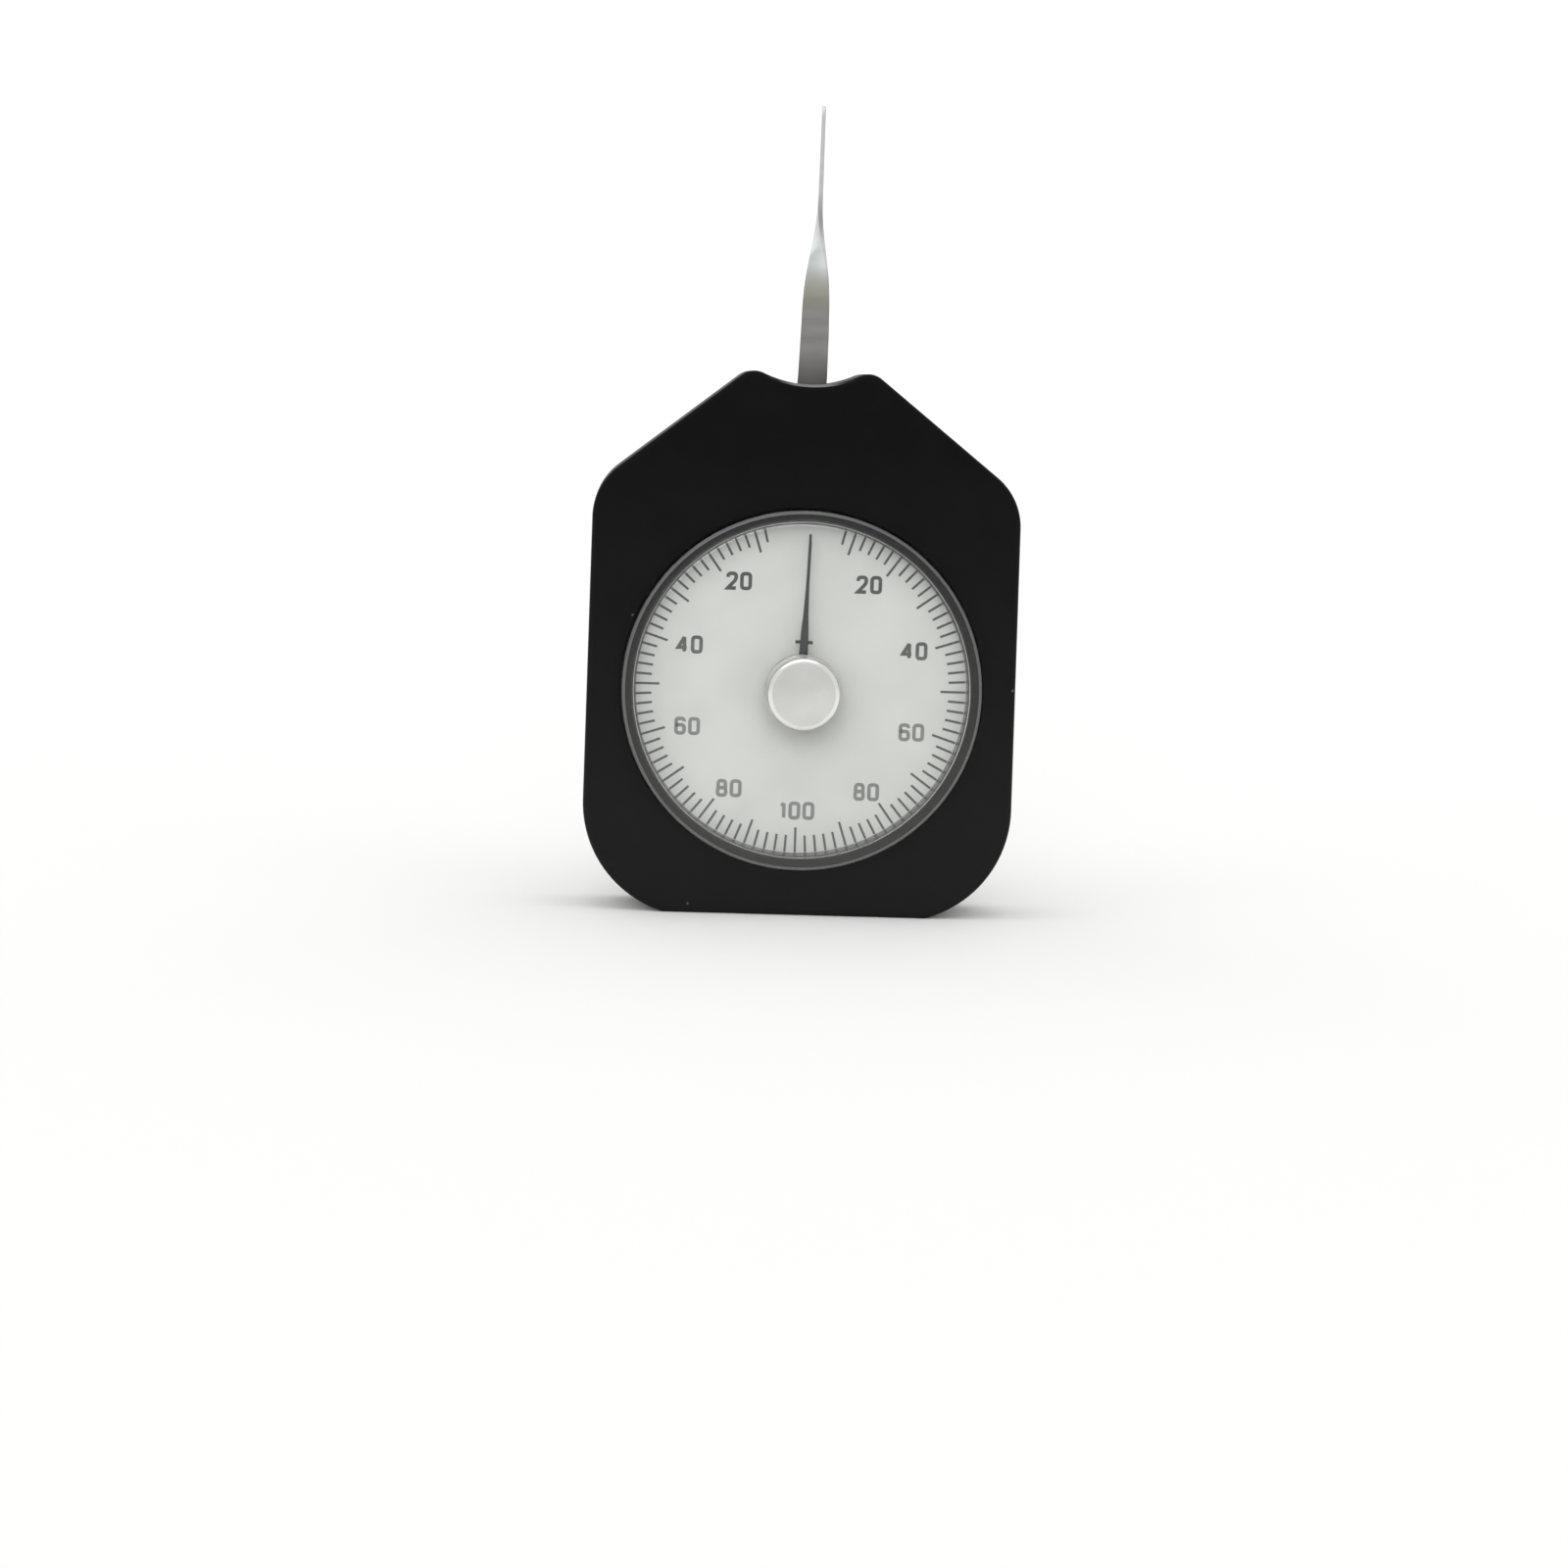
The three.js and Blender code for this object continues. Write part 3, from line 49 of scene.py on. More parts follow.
# Places that the solids give: the dial's axis, the lever's pivot and the stations along Y
CASE_LOW, CASE_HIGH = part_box("front_case")
COVER_LOW, COVER_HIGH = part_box("back_cover")
CRYSTAL_LOW, CRYSTAL_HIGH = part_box("crystal")
DIAL_LOW, DIAL_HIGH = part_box("dial_plate")
KNOB_LOW, KNOB_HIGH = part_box("reset_knob")
BUSH_LOW, BUSH_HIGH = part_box("crystal_bush")
WASHER_LOW, WASHER_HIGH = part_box("friction_washer")
SHAFT_LOW, SHAFT_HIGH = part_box("knob_shaft")
PEAK_HUB_LOW, PEAK_HUB_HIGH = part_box("peak_hub")
PEAK_HAND_LOW, PEAK_HAND_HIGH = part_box("peak_hand")
HUB_LOW, HUB_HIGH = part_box("pointer_hub")
POINTER_LOW, POINTER_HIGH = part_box("pointer")
ARBOR_LOW, ARBOR_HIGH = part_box("lever_arbor")
PLATE_LOW, PLATE_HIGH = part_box("movement_front_plate")
DIAL_Z = (DIAL_LOW.z + DIAL_HIGH.z) / 2
PIVOT_Z = (ARBOR_LOW.z + ARBOR_HIGH.z) / 2
COVER_JOINT = CASE_HIGH.y
DIAL_AXIS = Vector((0, 0, DIAL_Z))
COVER_SCREW_BOXES = [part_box(f"cover_screw_{number}") for number in (1, 2, 3, 4)]
COVER_SCREW_AXES = [Vector(((low.x + high.x) / 2, 0, (low.z + high.z) / 2))
                    for low, high in COVER_SCREW_BOXES]

# Camera, as the photograph was taken
SENSOR = 36 * MM
LENS = 89.1 * MM
VIEW_WIDTH = 202 * MM  # how much of the object's plane the picture takes in
AZIMUTH = math.radians(-2.4)
ELEVATION = math.radians(5.9)
ROLL = math.radians(1.9)
AIM = Vector((-1.87, -8, 17.06)) * MM
NEAR_CLIP, FAR_CLIP = 0.05, 50

# The outline of the case
CORNER_RADIUS = 14.8 * MM
CORNER_HEIGHT = 14.2 * MM
SHOULDER_RADIUS = 8.3 * MM
SHOULDER_RISE = 21.5 * MM
SIDE_DRAFT = 0.2 * MM
HORN_RADIUS = 2.75 * MM
HORN_SPREAD = 7.3 * MM
NOTCH_RADIUS = 15 * MM
NOTCH_Z = CASE_HIGH.z - HORN_RADIUS + math.sqrt((HORN_RADIUS + NOTCH_RADIUS) ** 2 - HORN_SPREAD ** 2)
CORNER_STEPS, SHOULDER_STEPS, HORN_STEPS, NOTCH_STEPS = 24, 16, 16, 14
WALL = 2.5 * MM
CASE_EDGE = 0.8 * MM
JOINT_EDGE = 0.15 * MM


# Modelling by hand

def deselect():
    bpy.ops.object.select_all(action="DESELECT")


def work_on(obj):
    deselect()
    obj.select_set(True)
    bpy.context.view_layer.objects.active = obj


def edit(obj):
    work_on(obj)
    bpy.ops.object.mode_set(mode="EDIT")
    bpy.ops.mesh.select_mode(type="VERT")


def edit_all(obj):
    """Edit mode, with all of the piece selected."""
    edit(obj)
    bpy.ops.mesh.select_all(action="SELECT")


def leave_edit():
    bpy.ops.object.mode_set(mode="OBJECT")


def add(primitive, **settings):
    """A new primitive, with its place and size put into its mesh."""
    deselect()
    primitive(**settings)
    bpy.ops.object.transform_apply(location=True, rotation=True, scale=True)
    return bpy.context.object


def pick(obj, kind, test):
    """In edit mode, selects only the points, edges or faces whose middle passes a test."""
    bpy.ops.mesh.select_mode(type=kind)
    bpy.ops.mesh.select_all(action="DESELECT")
    mesh = bmesh.from_edit_mesh(obj.data)
    if kind == "VERT":
        found = [v for v in mesh.verts if test(v.co)]
    elif kind == "EDGE":
        found = [e for e in mesh.edges if test((e.verts[0].co + e.verts[1].co) / 2)]
    else:
        found = [f for f in mesh.faces if test(f.calc_center_median())]
    for part in found:
        part.select_set(True)
    mesh.select_flush_mode()
    bmesh.update_edit_mesh(obj.data)
    return len(found)


def modify(obj, kind, **settings):
    """Adds a modifier and applies it."""
    work_on(obj)
    modifier = obj.modifiers.new(kind.title(), kind)
    for name, value in settings.items():
        setattr(modifier, name, value)
    bpy.ops.object.modifier_apply(modifier=modifier.name)


def boolean(obj, tool, operation):
    """Joins a solid to another or cuts it away. The tool goes."""
    modify(obj, "BOOLEAN", operation=operation, object=tool, solver="EXACT")
    bpy.data.objects.remove(tool)


def tidy_mesh(obj):
    """Merges points that lie on each other and turns all faces outwards."""
    edit_all(obj)
    bpy.ops.mesh.remove_doubles(threshold=WELD)
    bpy.ops.mesh.normals_make_consistent(inside=False)
    leave_edit()


def copy_of(obj):
    work_on(obj)
    bpy.ops.object.duplicate(linked=False)
    return bpy.context.object


def join_all(objs):
    deselect()
    for obj in objs:
        obj.select_set(True)
    bpy.context.view_layer.objects.active = objs[0]
    if len(objs) > 1:
        bpy.ops.object.join()
    return objs[0]


class Pen:
    """Draws a wire from point to point in edit mode."""

    def __init__(self, start):
        self.obj = add(bpy.ops.mesh.primitive_plane_add, size=MM)
        edit_all(self.obj)
        bpy.ops.mesh.merge(type="CENTER")
        bpy.ops.transform.translate(value=start)
        self.here = Vector(start)

    def line(self, *stops):
        for stop in stops:
            step = Vector(stop) - self.here
            bpy.ops.mesh.extrude_vertices_move(TRANSFORM_OT_translate={"value": step})
            self.here = Vector(stop)

    def arc(self, centre, angle, steps):
        """Turns about an axis along Y, anticlockwise as the dial's reader sees it."""
        centre = Vector((centre.x, self.here.y, centre.z))
        bpy.ops.mesh.spin(steps=steps, angle=abs(angle), center=centre,
                          axis=(0, 1 if angle > 0 else -1, 0))
        self.here = centre + Matrix.Rotation(-angle, 3, "Y") @ (self.here - centre)

    def close(self, start):
        self.line(start)
        bpy.ops.mesh.select_all(action="SELECT")
        bpy.ops.mesh.remove_doubles(threshold=WELD)


def turned(profile, steps=128, axis=DIAL_AXIS):
    """A solid turned about an axis along Y. Its profile lists each corner's radius, y and rounding."""
    stops = [Vector((axis.x + radius, y, axis.z)) for radius, y, _ in profile]
    pen = Pen(stops[0])
    pen.line(*stops[1:])
    if profile[0][0] > 0:
        pen.close(stops[0])
    for stop, (_, _, rounding) in zip(stops, profile):
        if rounding and pick(pen.obj, "VERT", lambda p: (p - stop).length < TOUCH):
            bpy.ops.mesh.bevel(offset=rounding, segments=5, affect="VERTICES")
    bpy.ops.mesh.select_all(action="SELECT")
    bpy.ops.mesh.spin(steps=steps, angle=2 * math.pi, center=axis, axis=(0, 1, 0))
    leave_edit()
    tidy_mesh(pen.obj)
    return pen.obj


def rod(radius, front, back, axis=DIAL_AXIS, steps=48):
    return turned([(0, front, 0), (radius, front, 0), (radius, back, 0), (0, back, 0)], steps, axis)


def sheet(middle, width, depth):
    """A flat rectangle that faces up, left in edit mode with all of it selected."""
    obj = add(bpy.ops.mesh.primitive_plane_add, size=1, location=middle)
    edit_all(obj)
    bpy.ops.transform.resize(value=(width, depth, 1), center_override=middle)
    return obj


def block(low, high):
    """A box between two corners, given as x, y, z."""
    middle = [(a + b) / 2 for a, b in zip(low, high)]
    size = [b - a for a, b in zip(low, high)]
    return add(bpy.ops.mesh.primitive_cube_add, size=1, location=middle, scale=size)


def slab_of(half, depth):
    """Mirrors the wire of a right half, fills the outline and gives it a depth towards the back."""
    modify(half, "MIRROR", use_axis=(True, False, False), merge_threshold=TOUCH)
    edit_all(half)
    bpy.ops.mesh.remove_doubles(threshold=TOUCH)
    bpy.ops.mesh.edge_face_add()
    bpy.ops.mesh.extrude_region_move(TRANSFORM_OT_translate={"value": (0, depth, 0)})
    leave_edit()
    tidy_mesh(half)
    return half


def round_edge(obj, y, rounding, segments=5):
    """Rounds the rim of a block at one station along Y."""
    edit(obj)
    pick(obj, "EDGE", lambda p: abs(p.y - y) < TOUCH)
    bpy.ops.mesh.bevel(offset=rounding, segments=segments, affect="EDGES", clamp_overlap=True)
    leave_edit()


def smooth(obj, degrees=30):
    work_on(obj)
    bpy.ops.object.shade_smooth_by_angle(angle=math.radians(degrees))


def finish(obj, name, body, material, slot, *stands_for, angle=30):
    """Names a finished piece, gives it its finish and says which body and CAD nodes it goes with."""
    obj.name = obj.data.name = name
    obj.data.materials.clear()
    obj.data.materials.append(material)
    smooth(obj, angle)
    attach(obj, body)
    if stands_for:
        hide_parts(*stands_for)


def second_finish(obj, material, test):
    """Gives another finish to the faces whose middle passes a test."""
    obj.data.materials.append(material)
    edit(obj)
    pick(obj, "FACE", test)
    obj.active_material_index = len(obj.data.materials) - 1
    bpy.ops.object.material_slot_assign()
    leave_edit()


def from_axis(p):
    """How far a point is from the dial's axis."""
    return math.hypot(p.x, p.z - DIAL_Z)


# Materials

def linear(hex_colour):
    """An sRGB hex colour as linear red, green, blue and alpha."""
    channels = [int(hex_colour[at:at + 2], 16) / 255 for at in (1, 3, 5)]
    return [c / 12.92 if c <= 0.04045 else ((c + 0.055) / 1.055) ** 2.4 for c in channels] + [1]


def add_node(material, kind, inputs, **settings):
    """Adds a shader node. Each input is a value, or another node's output to link to."""
    tree = material.node_tree
    node = tree.nodes.new("ShaderNode" + kind)
    for name, value in settings.items():
        setattr(node, name, value)
    for name, value in inputs.items():
        if isinstance(value, bpy.types.NodeSocket):
            tree.links.new(value, node.inputs[name])
        else:
            node.inputs[name].default_value = value
    return node


def new_material(name, **surface):
    """A material and its main shader, set by the names of its sockets with underscores for spaces."""
    material = bpy.data.materials.new(name)
    material.use_nodes = True
    shader = material.node_tree.nodes["Principled BSDF"]
    for socket, value in surface.items():
        shader.inputs[socket.replace("_", " ")].default_value = value
    return material, shader


def link(material, output, shader, socket):
    material.node_tree.links.new(output, shader.inputs[socket])


def object_grain(material, grain, detail=2, stretch=(1, 1, 1)):
    """Noise whose blobs are about one grain across, drawn out along an axis by its stretch."""
    place = add_node(material, "TexCoord", {}).outputs["Object"]
    drawn = add_node(material, "Mapping", {"Vector": place, "Scale": [1 / s for s in stretch]})
    return add_node(material, "TexNoise",
                    {"Vector": drawn.outputs[0], "Scale": 1 / grain, "Detail": detail}).outputs[0]


WAVE_FACTOR = 20  # a wave texture at scale 1 turns through this many radians in each unit


def lathe_rings(material, pitch):
    """Fine rings about the dial's axis, as a lathe's tool leaves them."""
    place = add_node(material, "TexCoord", {}).outputs["Object"]
    centred = add_node(material, "Mapping", {"Vector": place, "Location": (0, 0, -DIAL_Z)})
    return add_node(material, "TexWave",
                    {"Vector": centred.outputs[0], "Scale": 2 * math.pi / (WAVE_FACTOR * pitch),
                     "Distortion": 0.6, "Detail": 1.0},
                    wave_type="RINGS", rings_direction="Y").outputs[0]


def graded(material, axis, start, end, **settings):
    """A share that goes from 0 to 1 between two places along an axis."""
    place = add_node(material, "TexCoord", {}).outputs["Object"]
    along_axis = add_node(material, "SeparateXYZ", {0: place}).outputs[axis]
    return add_node(material, "MapRange", {0: along_axis, "From Min": start, "From Max": end},
                    **settings).outputs[0]


def between(material, factor, dark, light, low=0.35, high=0.65):
    """Two colours mixed by a pattern, the dark one below a low value of it and the light one above a high."""
    spread = add_node(material, "MapRange", {0: factor, "From Min": low, "From Max": high})
    return add_node(material, "Mix", {0: spread.outputs[0], 6: linear(dark), 7: linear(light)},
                    data_type="RGBA").outputs[2]


def relief(material, shader, height, depth, strength):
    """Makes the surface take the light as if a pattern stood that far out of it."""
    bumped = add_node(material, "Bump", {"Height": height, "Distance": depth, "Strength": strength})
    link(material, bumped.outputs[0], shader, "Normal")


def roughness_between(material, shader, factor, low, high):
    """Gives the surface one roughness where a pattern is 0 and another where it is 1."""
    spread = add_node(material, "MapRange", {0: factor, "To Min": low, "To Max": high})
    link(material, spread.outputs[0], shader, "Roughness")


# Typical indices of refraction
ABS_IOR = 1.53
ACRYLIC_IOR = 1.49
PAINT_IOR = 1.5
PAPER_IOR = 1.45


def moulded_black_abs():
    """ABS from a spark-eroded mould: a deep black with a soft, slightly grainy sheen and stray dust. Painted
    light makes it a little paler below the middle of the dial."""
    material, shader = new_material("moulded_black_abs", IOR=ABS_IOR, Specular_IOR_Level=0.07)
    grain = object_grain(material, 0.3 * MM)
    patches = object_grain(material, 7 * MM)
    # painted light: the case is paler towards its foot
    painted_light_below = graded(material, "Z", 62 * MM, 12 * MM)
    patches_and_painted_light = add_node(material, "Math", {0: patches, 1: 0.4, 2: painted_light_below}, operation="MULTIPLY_ADD").outputs[0]
    tone = between(material, patches_and_painted_light, "#070707", "#191919", 0.2, 1.2)
    place = add_node(material, "TexCoord", {}).outputs["Object"]
    specks = add_node(material, "TexVoronoi", {"Vector": place, "Scale": 1 / (6.5 * MM)})
    dust = add_node(material, "MapRange", {0: specks.outputs["Distance"],
                                           "From Min": 0.035, "From Max": 0.015})
    dusty = add_node(material, "Mix", {0: dust.outputs[0], 6: tone, 7: linear("#5c5c5a")},
                     data_type="RGBA")
    link(material, dusty.outputs[2], shader, "Base Color")
    roughness_between(material, shader, patches, 0.42, 0.52)
    relief(material, shader, grain, 0.004 * MM, 0.5)
    return material


def polished_black_abs():
    """ABS where the mould was polished: gloss black, so that it mirrors the dial's edge at a low angle."""
    material, shader = new_material("polished_black_abs", IOR=ABS_IOR)
    haze = object_grain(material, 0.9 * MM)
    link(material, between(material, haze, "#080808", "#0e0e0e"), shader, "Base Color")
    roughness_between(material, shader, haze, 0.1, 0.2)
    return material


def ledge_abs_painted_light():
    """The ledge under the crystal: black ABS, faintly mottled, with painted light that greys it in the lower
    part of the ring."""
    material, shader = new_material("ledge_abs_painted_light", IOR=ABS_IOR, Specular_IOR_Level=0.07)
    ledge_mottle = object_grain(material, 1.5 * MM)
    # painted light: paler towards the bottom of the ring
    lower = graded(material, "Z", DIAL_Z + 14 * MM, DIAL_Z - 20 * MM)
    mottle_and_painted_light = add_node(material, "Math", {0: ledge_mottle, 1: 0.3, 2: lower}, operation="MULTIPLY_ADD").outputs[0]
    link(material, between(material, mottle_and_painted_light, "#040404", "#61615e", 0.1, 1.3), shader, "Base Color")
    roughness_between(material, shader, ledge_mottle, 0.5, 0.65)
    return material


def slot_edge_abs_painted_highlight():
    """ABS with a painted highlight where the lever's slot breaks the edge, palest in the middle."""
    material, shader = new_material("slot_edge_abs_painted_highlight", IOR=ABS_IOR, Specular_IOR_Level=0.2)
    highlight_mottle = object_grain(material, 0.6 * MM)
    from_right = graded(material, "X", 5 * MM, 1.5 * MM, interpolation_type="SMOOTHSTEP")
    from_left = graded(material, "X", -5 * MM, -1.5 * MM, interpolation_type="SMOOTHSTEP")
    inwards = add_node(material, "Math", {0: from_right, 1: from_left}, operation="MULTIPLY").outputs[0]
    forwards = graded(material, "Y", CASE_LOW.y + 4.5 * MM, CASE_LOW.y + 1 * MM)
    fade = add_node(material, "Math", {0: inwards, 1: forwards}, operation="MULTIPLY").outputs[0]
    # painted highlight along the slot's front edge
    painted_highlight_tone = add_node(material, "Math", {0: highlight_mottle, 1: 0.3, 2: fade}, operation="MULTIPLY_ADD").outputs[0]
    link(material, between(material, painted_highlight_tone, "#0b0b0b", "#7c7c7b", 0.25, 1.3), shader, "Base Color")
    roughness_between(material, shader, highlight_mottle, 0.4, 0.55)
    return material


def polished_acrylic():
    """Clear acrylic, moulded and polished: nearly unseen but for its bright rim."""
    material, shader = new_material("polished_acrylic", IOR=ACRYLIC_IOR, Specular_IOR_Level=0.3,
                                    Transmission_Weight=1.0, Base_Color=linear("#fbfcfb"))
    wear = object_grain(material, 5 * MM)
    roughness_between(material, shader, wear, 0.01, 0.05)
    return material


def turned_acrylic():
    """Acrylic as the lathe leaves it on the rim: finely ringed and a little frosted, so it catches light."""
    material, shader = new_material("turned_acrylic", IOR=ACRYLIC_IOR, Transmission_Weight=0.9,
                                    Base_Color=linear("#e9ecea"))
    rings = lathe_rings(material, 0.12 * MM)
    roughness_between(material, shader, rings, 0.3, 0.45)
    return material


def dial_enamel():
    """Baked white enamel on sheet: warm pale grey, matt, very slightly uneven."""
    material, shader = new_material("dial_enamel", IOR=PAINT_IOR, Specular_IOR_Level=0.3)
    cloud = object_grain(material, 6 * MM)
    link(material, between(material, cloud, "#bebfbc", "#c4c5c2"), shader, "Base Color")
    roughness_between(material, shader, cloud, 0.5, 0.6)
    relief(material, shader, object_grain(material, 0.25 * MM), 0.002 * MM, 0.4)
    return material


def printed_ink(name, dark, light, dark_at, light_at):
    """Pad-printed charcoal ink: thin and patchy, and greyer at one height on the dial than at another."""
    material, shader = new_material(name, IOR=PAINT_IOR, Specular_IOR_Level=0.25)
    wear = object_grain(material, 1.6 * MM)
    faded = graded(material, "Z", DIAL_Z + dark_at, DIAL_Z + light_at)
    tone = add_node(material, "Math", {0: wear, 1: 0.5, 2: faded}, operation="MULTIPLY_ADD").outputs[0]
    link(material, between(material, tone, dark, light, 0.15, 1.3), shader, "Base Color")
    roughness_between(material, shader, wear, 0.5, 0.7)
    return material


def painted_black_steel():
    """Matt black paint on thin sheet steel, as on instrument hands."""
    material, shader = new_material("painted_black_steel", IOR=PAINT_IOR, Specular_IOR_Level=0.1)
    grain = object_grain(material, 0.2 * MM)
    link(material, between(material, grain, "#08080a", "#101012"), shader, "Base Color")
    roughness_between(material, shader, grain, 0.45, 0.6)
    relief(material, shader, grain, 0.002 * MM, 0.4)
    return material


def turned_metal(name, dark, light, low, high, pitch, depth=0.001 * MM):
    """Metal faced on a lathe: fine rings about its own axis, which spread each highlight."""
    material, shader = new_material(name, Metallic=1.0)
    rings = lathe_rings(material, pitch)
    cloud = object_grain(material, 4 * MM)
    link(material, between(material, cloud, dark, light), shader, "Base Color")
    roughness_between(material, shader, rings, low, high)
    relief(material, shader, rings, depth, 0.5)
    return material


def drawn_metal(name, dark, light, low, high, line, run):
    """Metal with fine lines along one axis, as rolling, drawing or brushing leaves it."""
    material, shader = new_material(name, Metallic=1.0)
    lines = object_grain(material, line, detail=3, stretch=run)
    link(material, between(material, lines, dark, light), shader, "Base Color")
    roughness_between(material, shader, lines, low, high)
    relief(material, shader, lines, 0.002 * MM, 0.4)
    return material


def lever_steel():
    """Spring steel strip, rolled along its length. Its skin is dull below the twist and on the blade, and
    smoother in the twist. Its colour by height is painted light: painted shade just above the case, dark
    below the twist, a painted bright sheen in the twist and lighter on the blade. It has a faint straw tint
    where the bright band begins."""
    material, shader = new_material("rolled_spring_steel", Metallic=1.0)
    lines = object_grain(material, 0.12 * MM, detail=3, stretch=(1, 1, 40))
    bands = object_grain(material, 2.2 * MM, stretch=(4, 4, 1))

    def over_height(start, end):
        return graded(material, "Z", DIAL_Z + start * MM, DIAL_Z + end * MM, interpolation_type="SMOOTHSTEP")

    # painted sheen: the twist is drawn bright in colour, and smoother
    twist_sheen = over_height(49.5, 54.5)
    warm = add_node(material, "Math", {0: over_height(46.5, 51), 1: over_height(54.5, 52)},
                    operation="MULTIPLY").outputs[0]
    straw = add_node(material, "Math", {0: warm, 1: 0.4}, operation="MULTIPLY").outputs[0]
    # colours by height, as painted light: shade just above the case, a bright twist and a lighter blade
    colour = linear("#7b7978")
    for share, finer in (
        (over_height(40.5, 44), between(material, bands, "#888685", "#969493")),
        (twist_sheen, between(material, bands, "#cdd2d2", "#d8dddd")),
        (over_height(56.5, 60.5), linear("#a6a5a4")),
        (over_height(60.5, 64.5), between(material, bands, "#cccbca", "#d4d3d2")),
        (straw, linear("#98967a")),
    ):
        colour = add_node(material, "Mix", {0: share, 6: colour, 7: finer}, data_type="RGBA").outputs[2]
    link(material, colour, shader, "Base Color")
    roughness_between(material, shader, twist_sheen, 0.42, 0.26)
    relief(material, shader, lines, 0.001 * MM, 0.3)
    return material


BLACK_ABS = moulded_black_abs()
POLISHED_BLACK = polished_black_abs()
LEDGE_PAINTED_LIGHT = ledge_abs_painted_light()
SLOT_EDGE_HIGHLIGHT = slot_edge_abs_painted_highlight()
ACRYLIC = polished_acrylic()
ACRYLIC_RIM = turned_acrylic()
ENAMEL = dial_enamel()
TICK_INK = printed_ink("tick_ink", "#2a2b2a", "#4c4d4a", 20 * MM, -20 * MM)
NUMERAL_INK = printed_ink("numeral_ink", "#181918", "#747572", 8 * MM, -4 * MM)
HAND_PAINT = painted_black_steel()
LEVER_STEEL = lever_steel()
# Nickel plate on turned brass: pale and a little warm, satin on the knob's face and polished on its rim,
# where a lighter colour is a painted highlight
KNOB_NICKEL = turned_metal("satin_nickel", "#d0d0cd", "#d8d8d5", 0.26, 0.34, 0.16 * MM)
RIM_NICKEL_PAINTED_HIGHLIGHT = turned_metal("polished_nickel_painted_highlight", "#e6e6e3", "#eeeeec", 0.16, 0.24, 0.1 * MM, 0.0005 * MM)
# Brass brushed sideways: yellow, with fine lines that stretch each highlight
BRASS = drawn_metal("brushed_brass", "#b08d4c", "#c9a765", 0.25, 0.4, 0.1 * MM, (30, 1, 1))
# Rolled strip for the springs: a cool mid grey with short faint lines
SPRING_STEEL = drawn_metal("rolled_spring_strip", "#77797d", "#8d8f92", 0.25, 0.35, 0.08 * MM, (1, 6, 1))
# Steel bar as the lathe leaves it: bright, with lines round the bar
TURNED_STEEL = drawn_metal("bright_turned_steel", "#9b9da0", "#b0b2b4", 0.18, 0.3, 0.08 * MM, (12, 1, 12))
# Zinc plate on steel: a cool grey, a little dull
SCREW_STEEL = drawn_metal("zinc_plated_steel", "#8e9196", "#a5a8ac", 0.25, 0.38, 0.1 * MM, (6, 1, 1))


# Case

def y_plane(x, z, y):
    """A place on the plane at one station along Y."""
    return Vector((x, y, z))


def case_half(inset, y):
    """The wire of the right half of the case, or of its hollow, from the middle of the foot up to the top."""
    half_width = CASE_HIGH.x
    corner = y_plane(half_width - CORNER_RADIUS, CORNER_HEIGHT, y)
    shoulder = y_plane(half_width - SIDE_DRAFT - SHOULDER_RADIUS, DIAL_Z + SHOULDER_RISE, y)
    horn = y_plane(HORN_SPREAD, CASE_HIGH.z - HORN_RADIUS, y)
    notch = y_plane(0, NOTCH_Z, y)
    across = horn - shoulder
    slope = math.atan2(across.z, across.x) - math.acos((SHOULDER_RADIUS - HORN_RADIUS) / across.length)
    radius = CORNER_RADIUS - inset
    foot = math.asin((CORNER_HEIGHT - inset) / radius)
    pen = Pen(y_plane(0, inset, y))
    pen.line(y_plane(corner.x + radius * math.cos(foot), inset, y))
    pen.arc(corner, foot, CORNER_STEPS)
    radius = SHOULDER_RADIUS - inset
    pen.line(y_plane(shoulder.x + radius, shoulder.z, y))
    pen.arc(shoulder, slope, SHOULDER_STEPS)
    if inset:
        top = notch.z - NOTCH_RADIUS - inset
        end = pen.here.x - (top - pen.here.z) * math.tan(slope)
        pen.line(y_plane(end, top, y), y_plane(0, top, y))
    else:
        meeting = math.atan2(notch.z - horn.z, notch.x - horn.x)
        pen.line(horn + y_plane(math.cos(slope), math.sin(slope), 0) * HORN_RADIUS)
        pen.arc(horn, meeting - slope, HORN_STEPS)
        pen.arc(notch, math.pi / 2 - meeting, NOTCH_STEPS)
    leave_edit()
    return pen.obj


def case_slab(inset, front, back):
    """The case's outline as a block between two stations along Y."""
    return slab_of(case_half(inset, front), back - front)


# The lever's slot, the cover's pockets, the window and the screw holes
NOTCH_BOTTOM = NOTCH_Z - NOTCH_RADIUS
SLOT_FRONT = -1.0 * MM
SLOT_DEPTH = 2.3 * MM
SLOT_HALF_WIDTH = 5.39 * MM
PLATE_POCKET_RADIUS = 24.55 * MM
TONGUE_POCKET_HALF_WIDTH = 13.65 * MM
SEAT_GAP = 0.15 * MM
LIP = 0.2 * MM
FRONT_SKIN = 2.5 * MM
WINDOW_RADIUS = 23.25 * MM
LEDGE_RADIUS = 21.55 * MM
LEDGE_FACE_RADIUS = 21.65 * MM
LEDGE_ROUNDING = 0.15 * MM
LEDGE_RING_RADIUS = 24.7 * MM
DIAL_SEAT_RADIUS = 22.35 * MM
OVERRUN = 1 * MM  # how far a cut runs past the face that it opens
BOSS_RADIUS = 2.6 * MM
SCREW_HOLE_RADIUS = 1.05 * MM
COUNTERBORE_RADIUS = 2.05 * MM
COUNTERBORE_DEPTH = 1.2 * MM


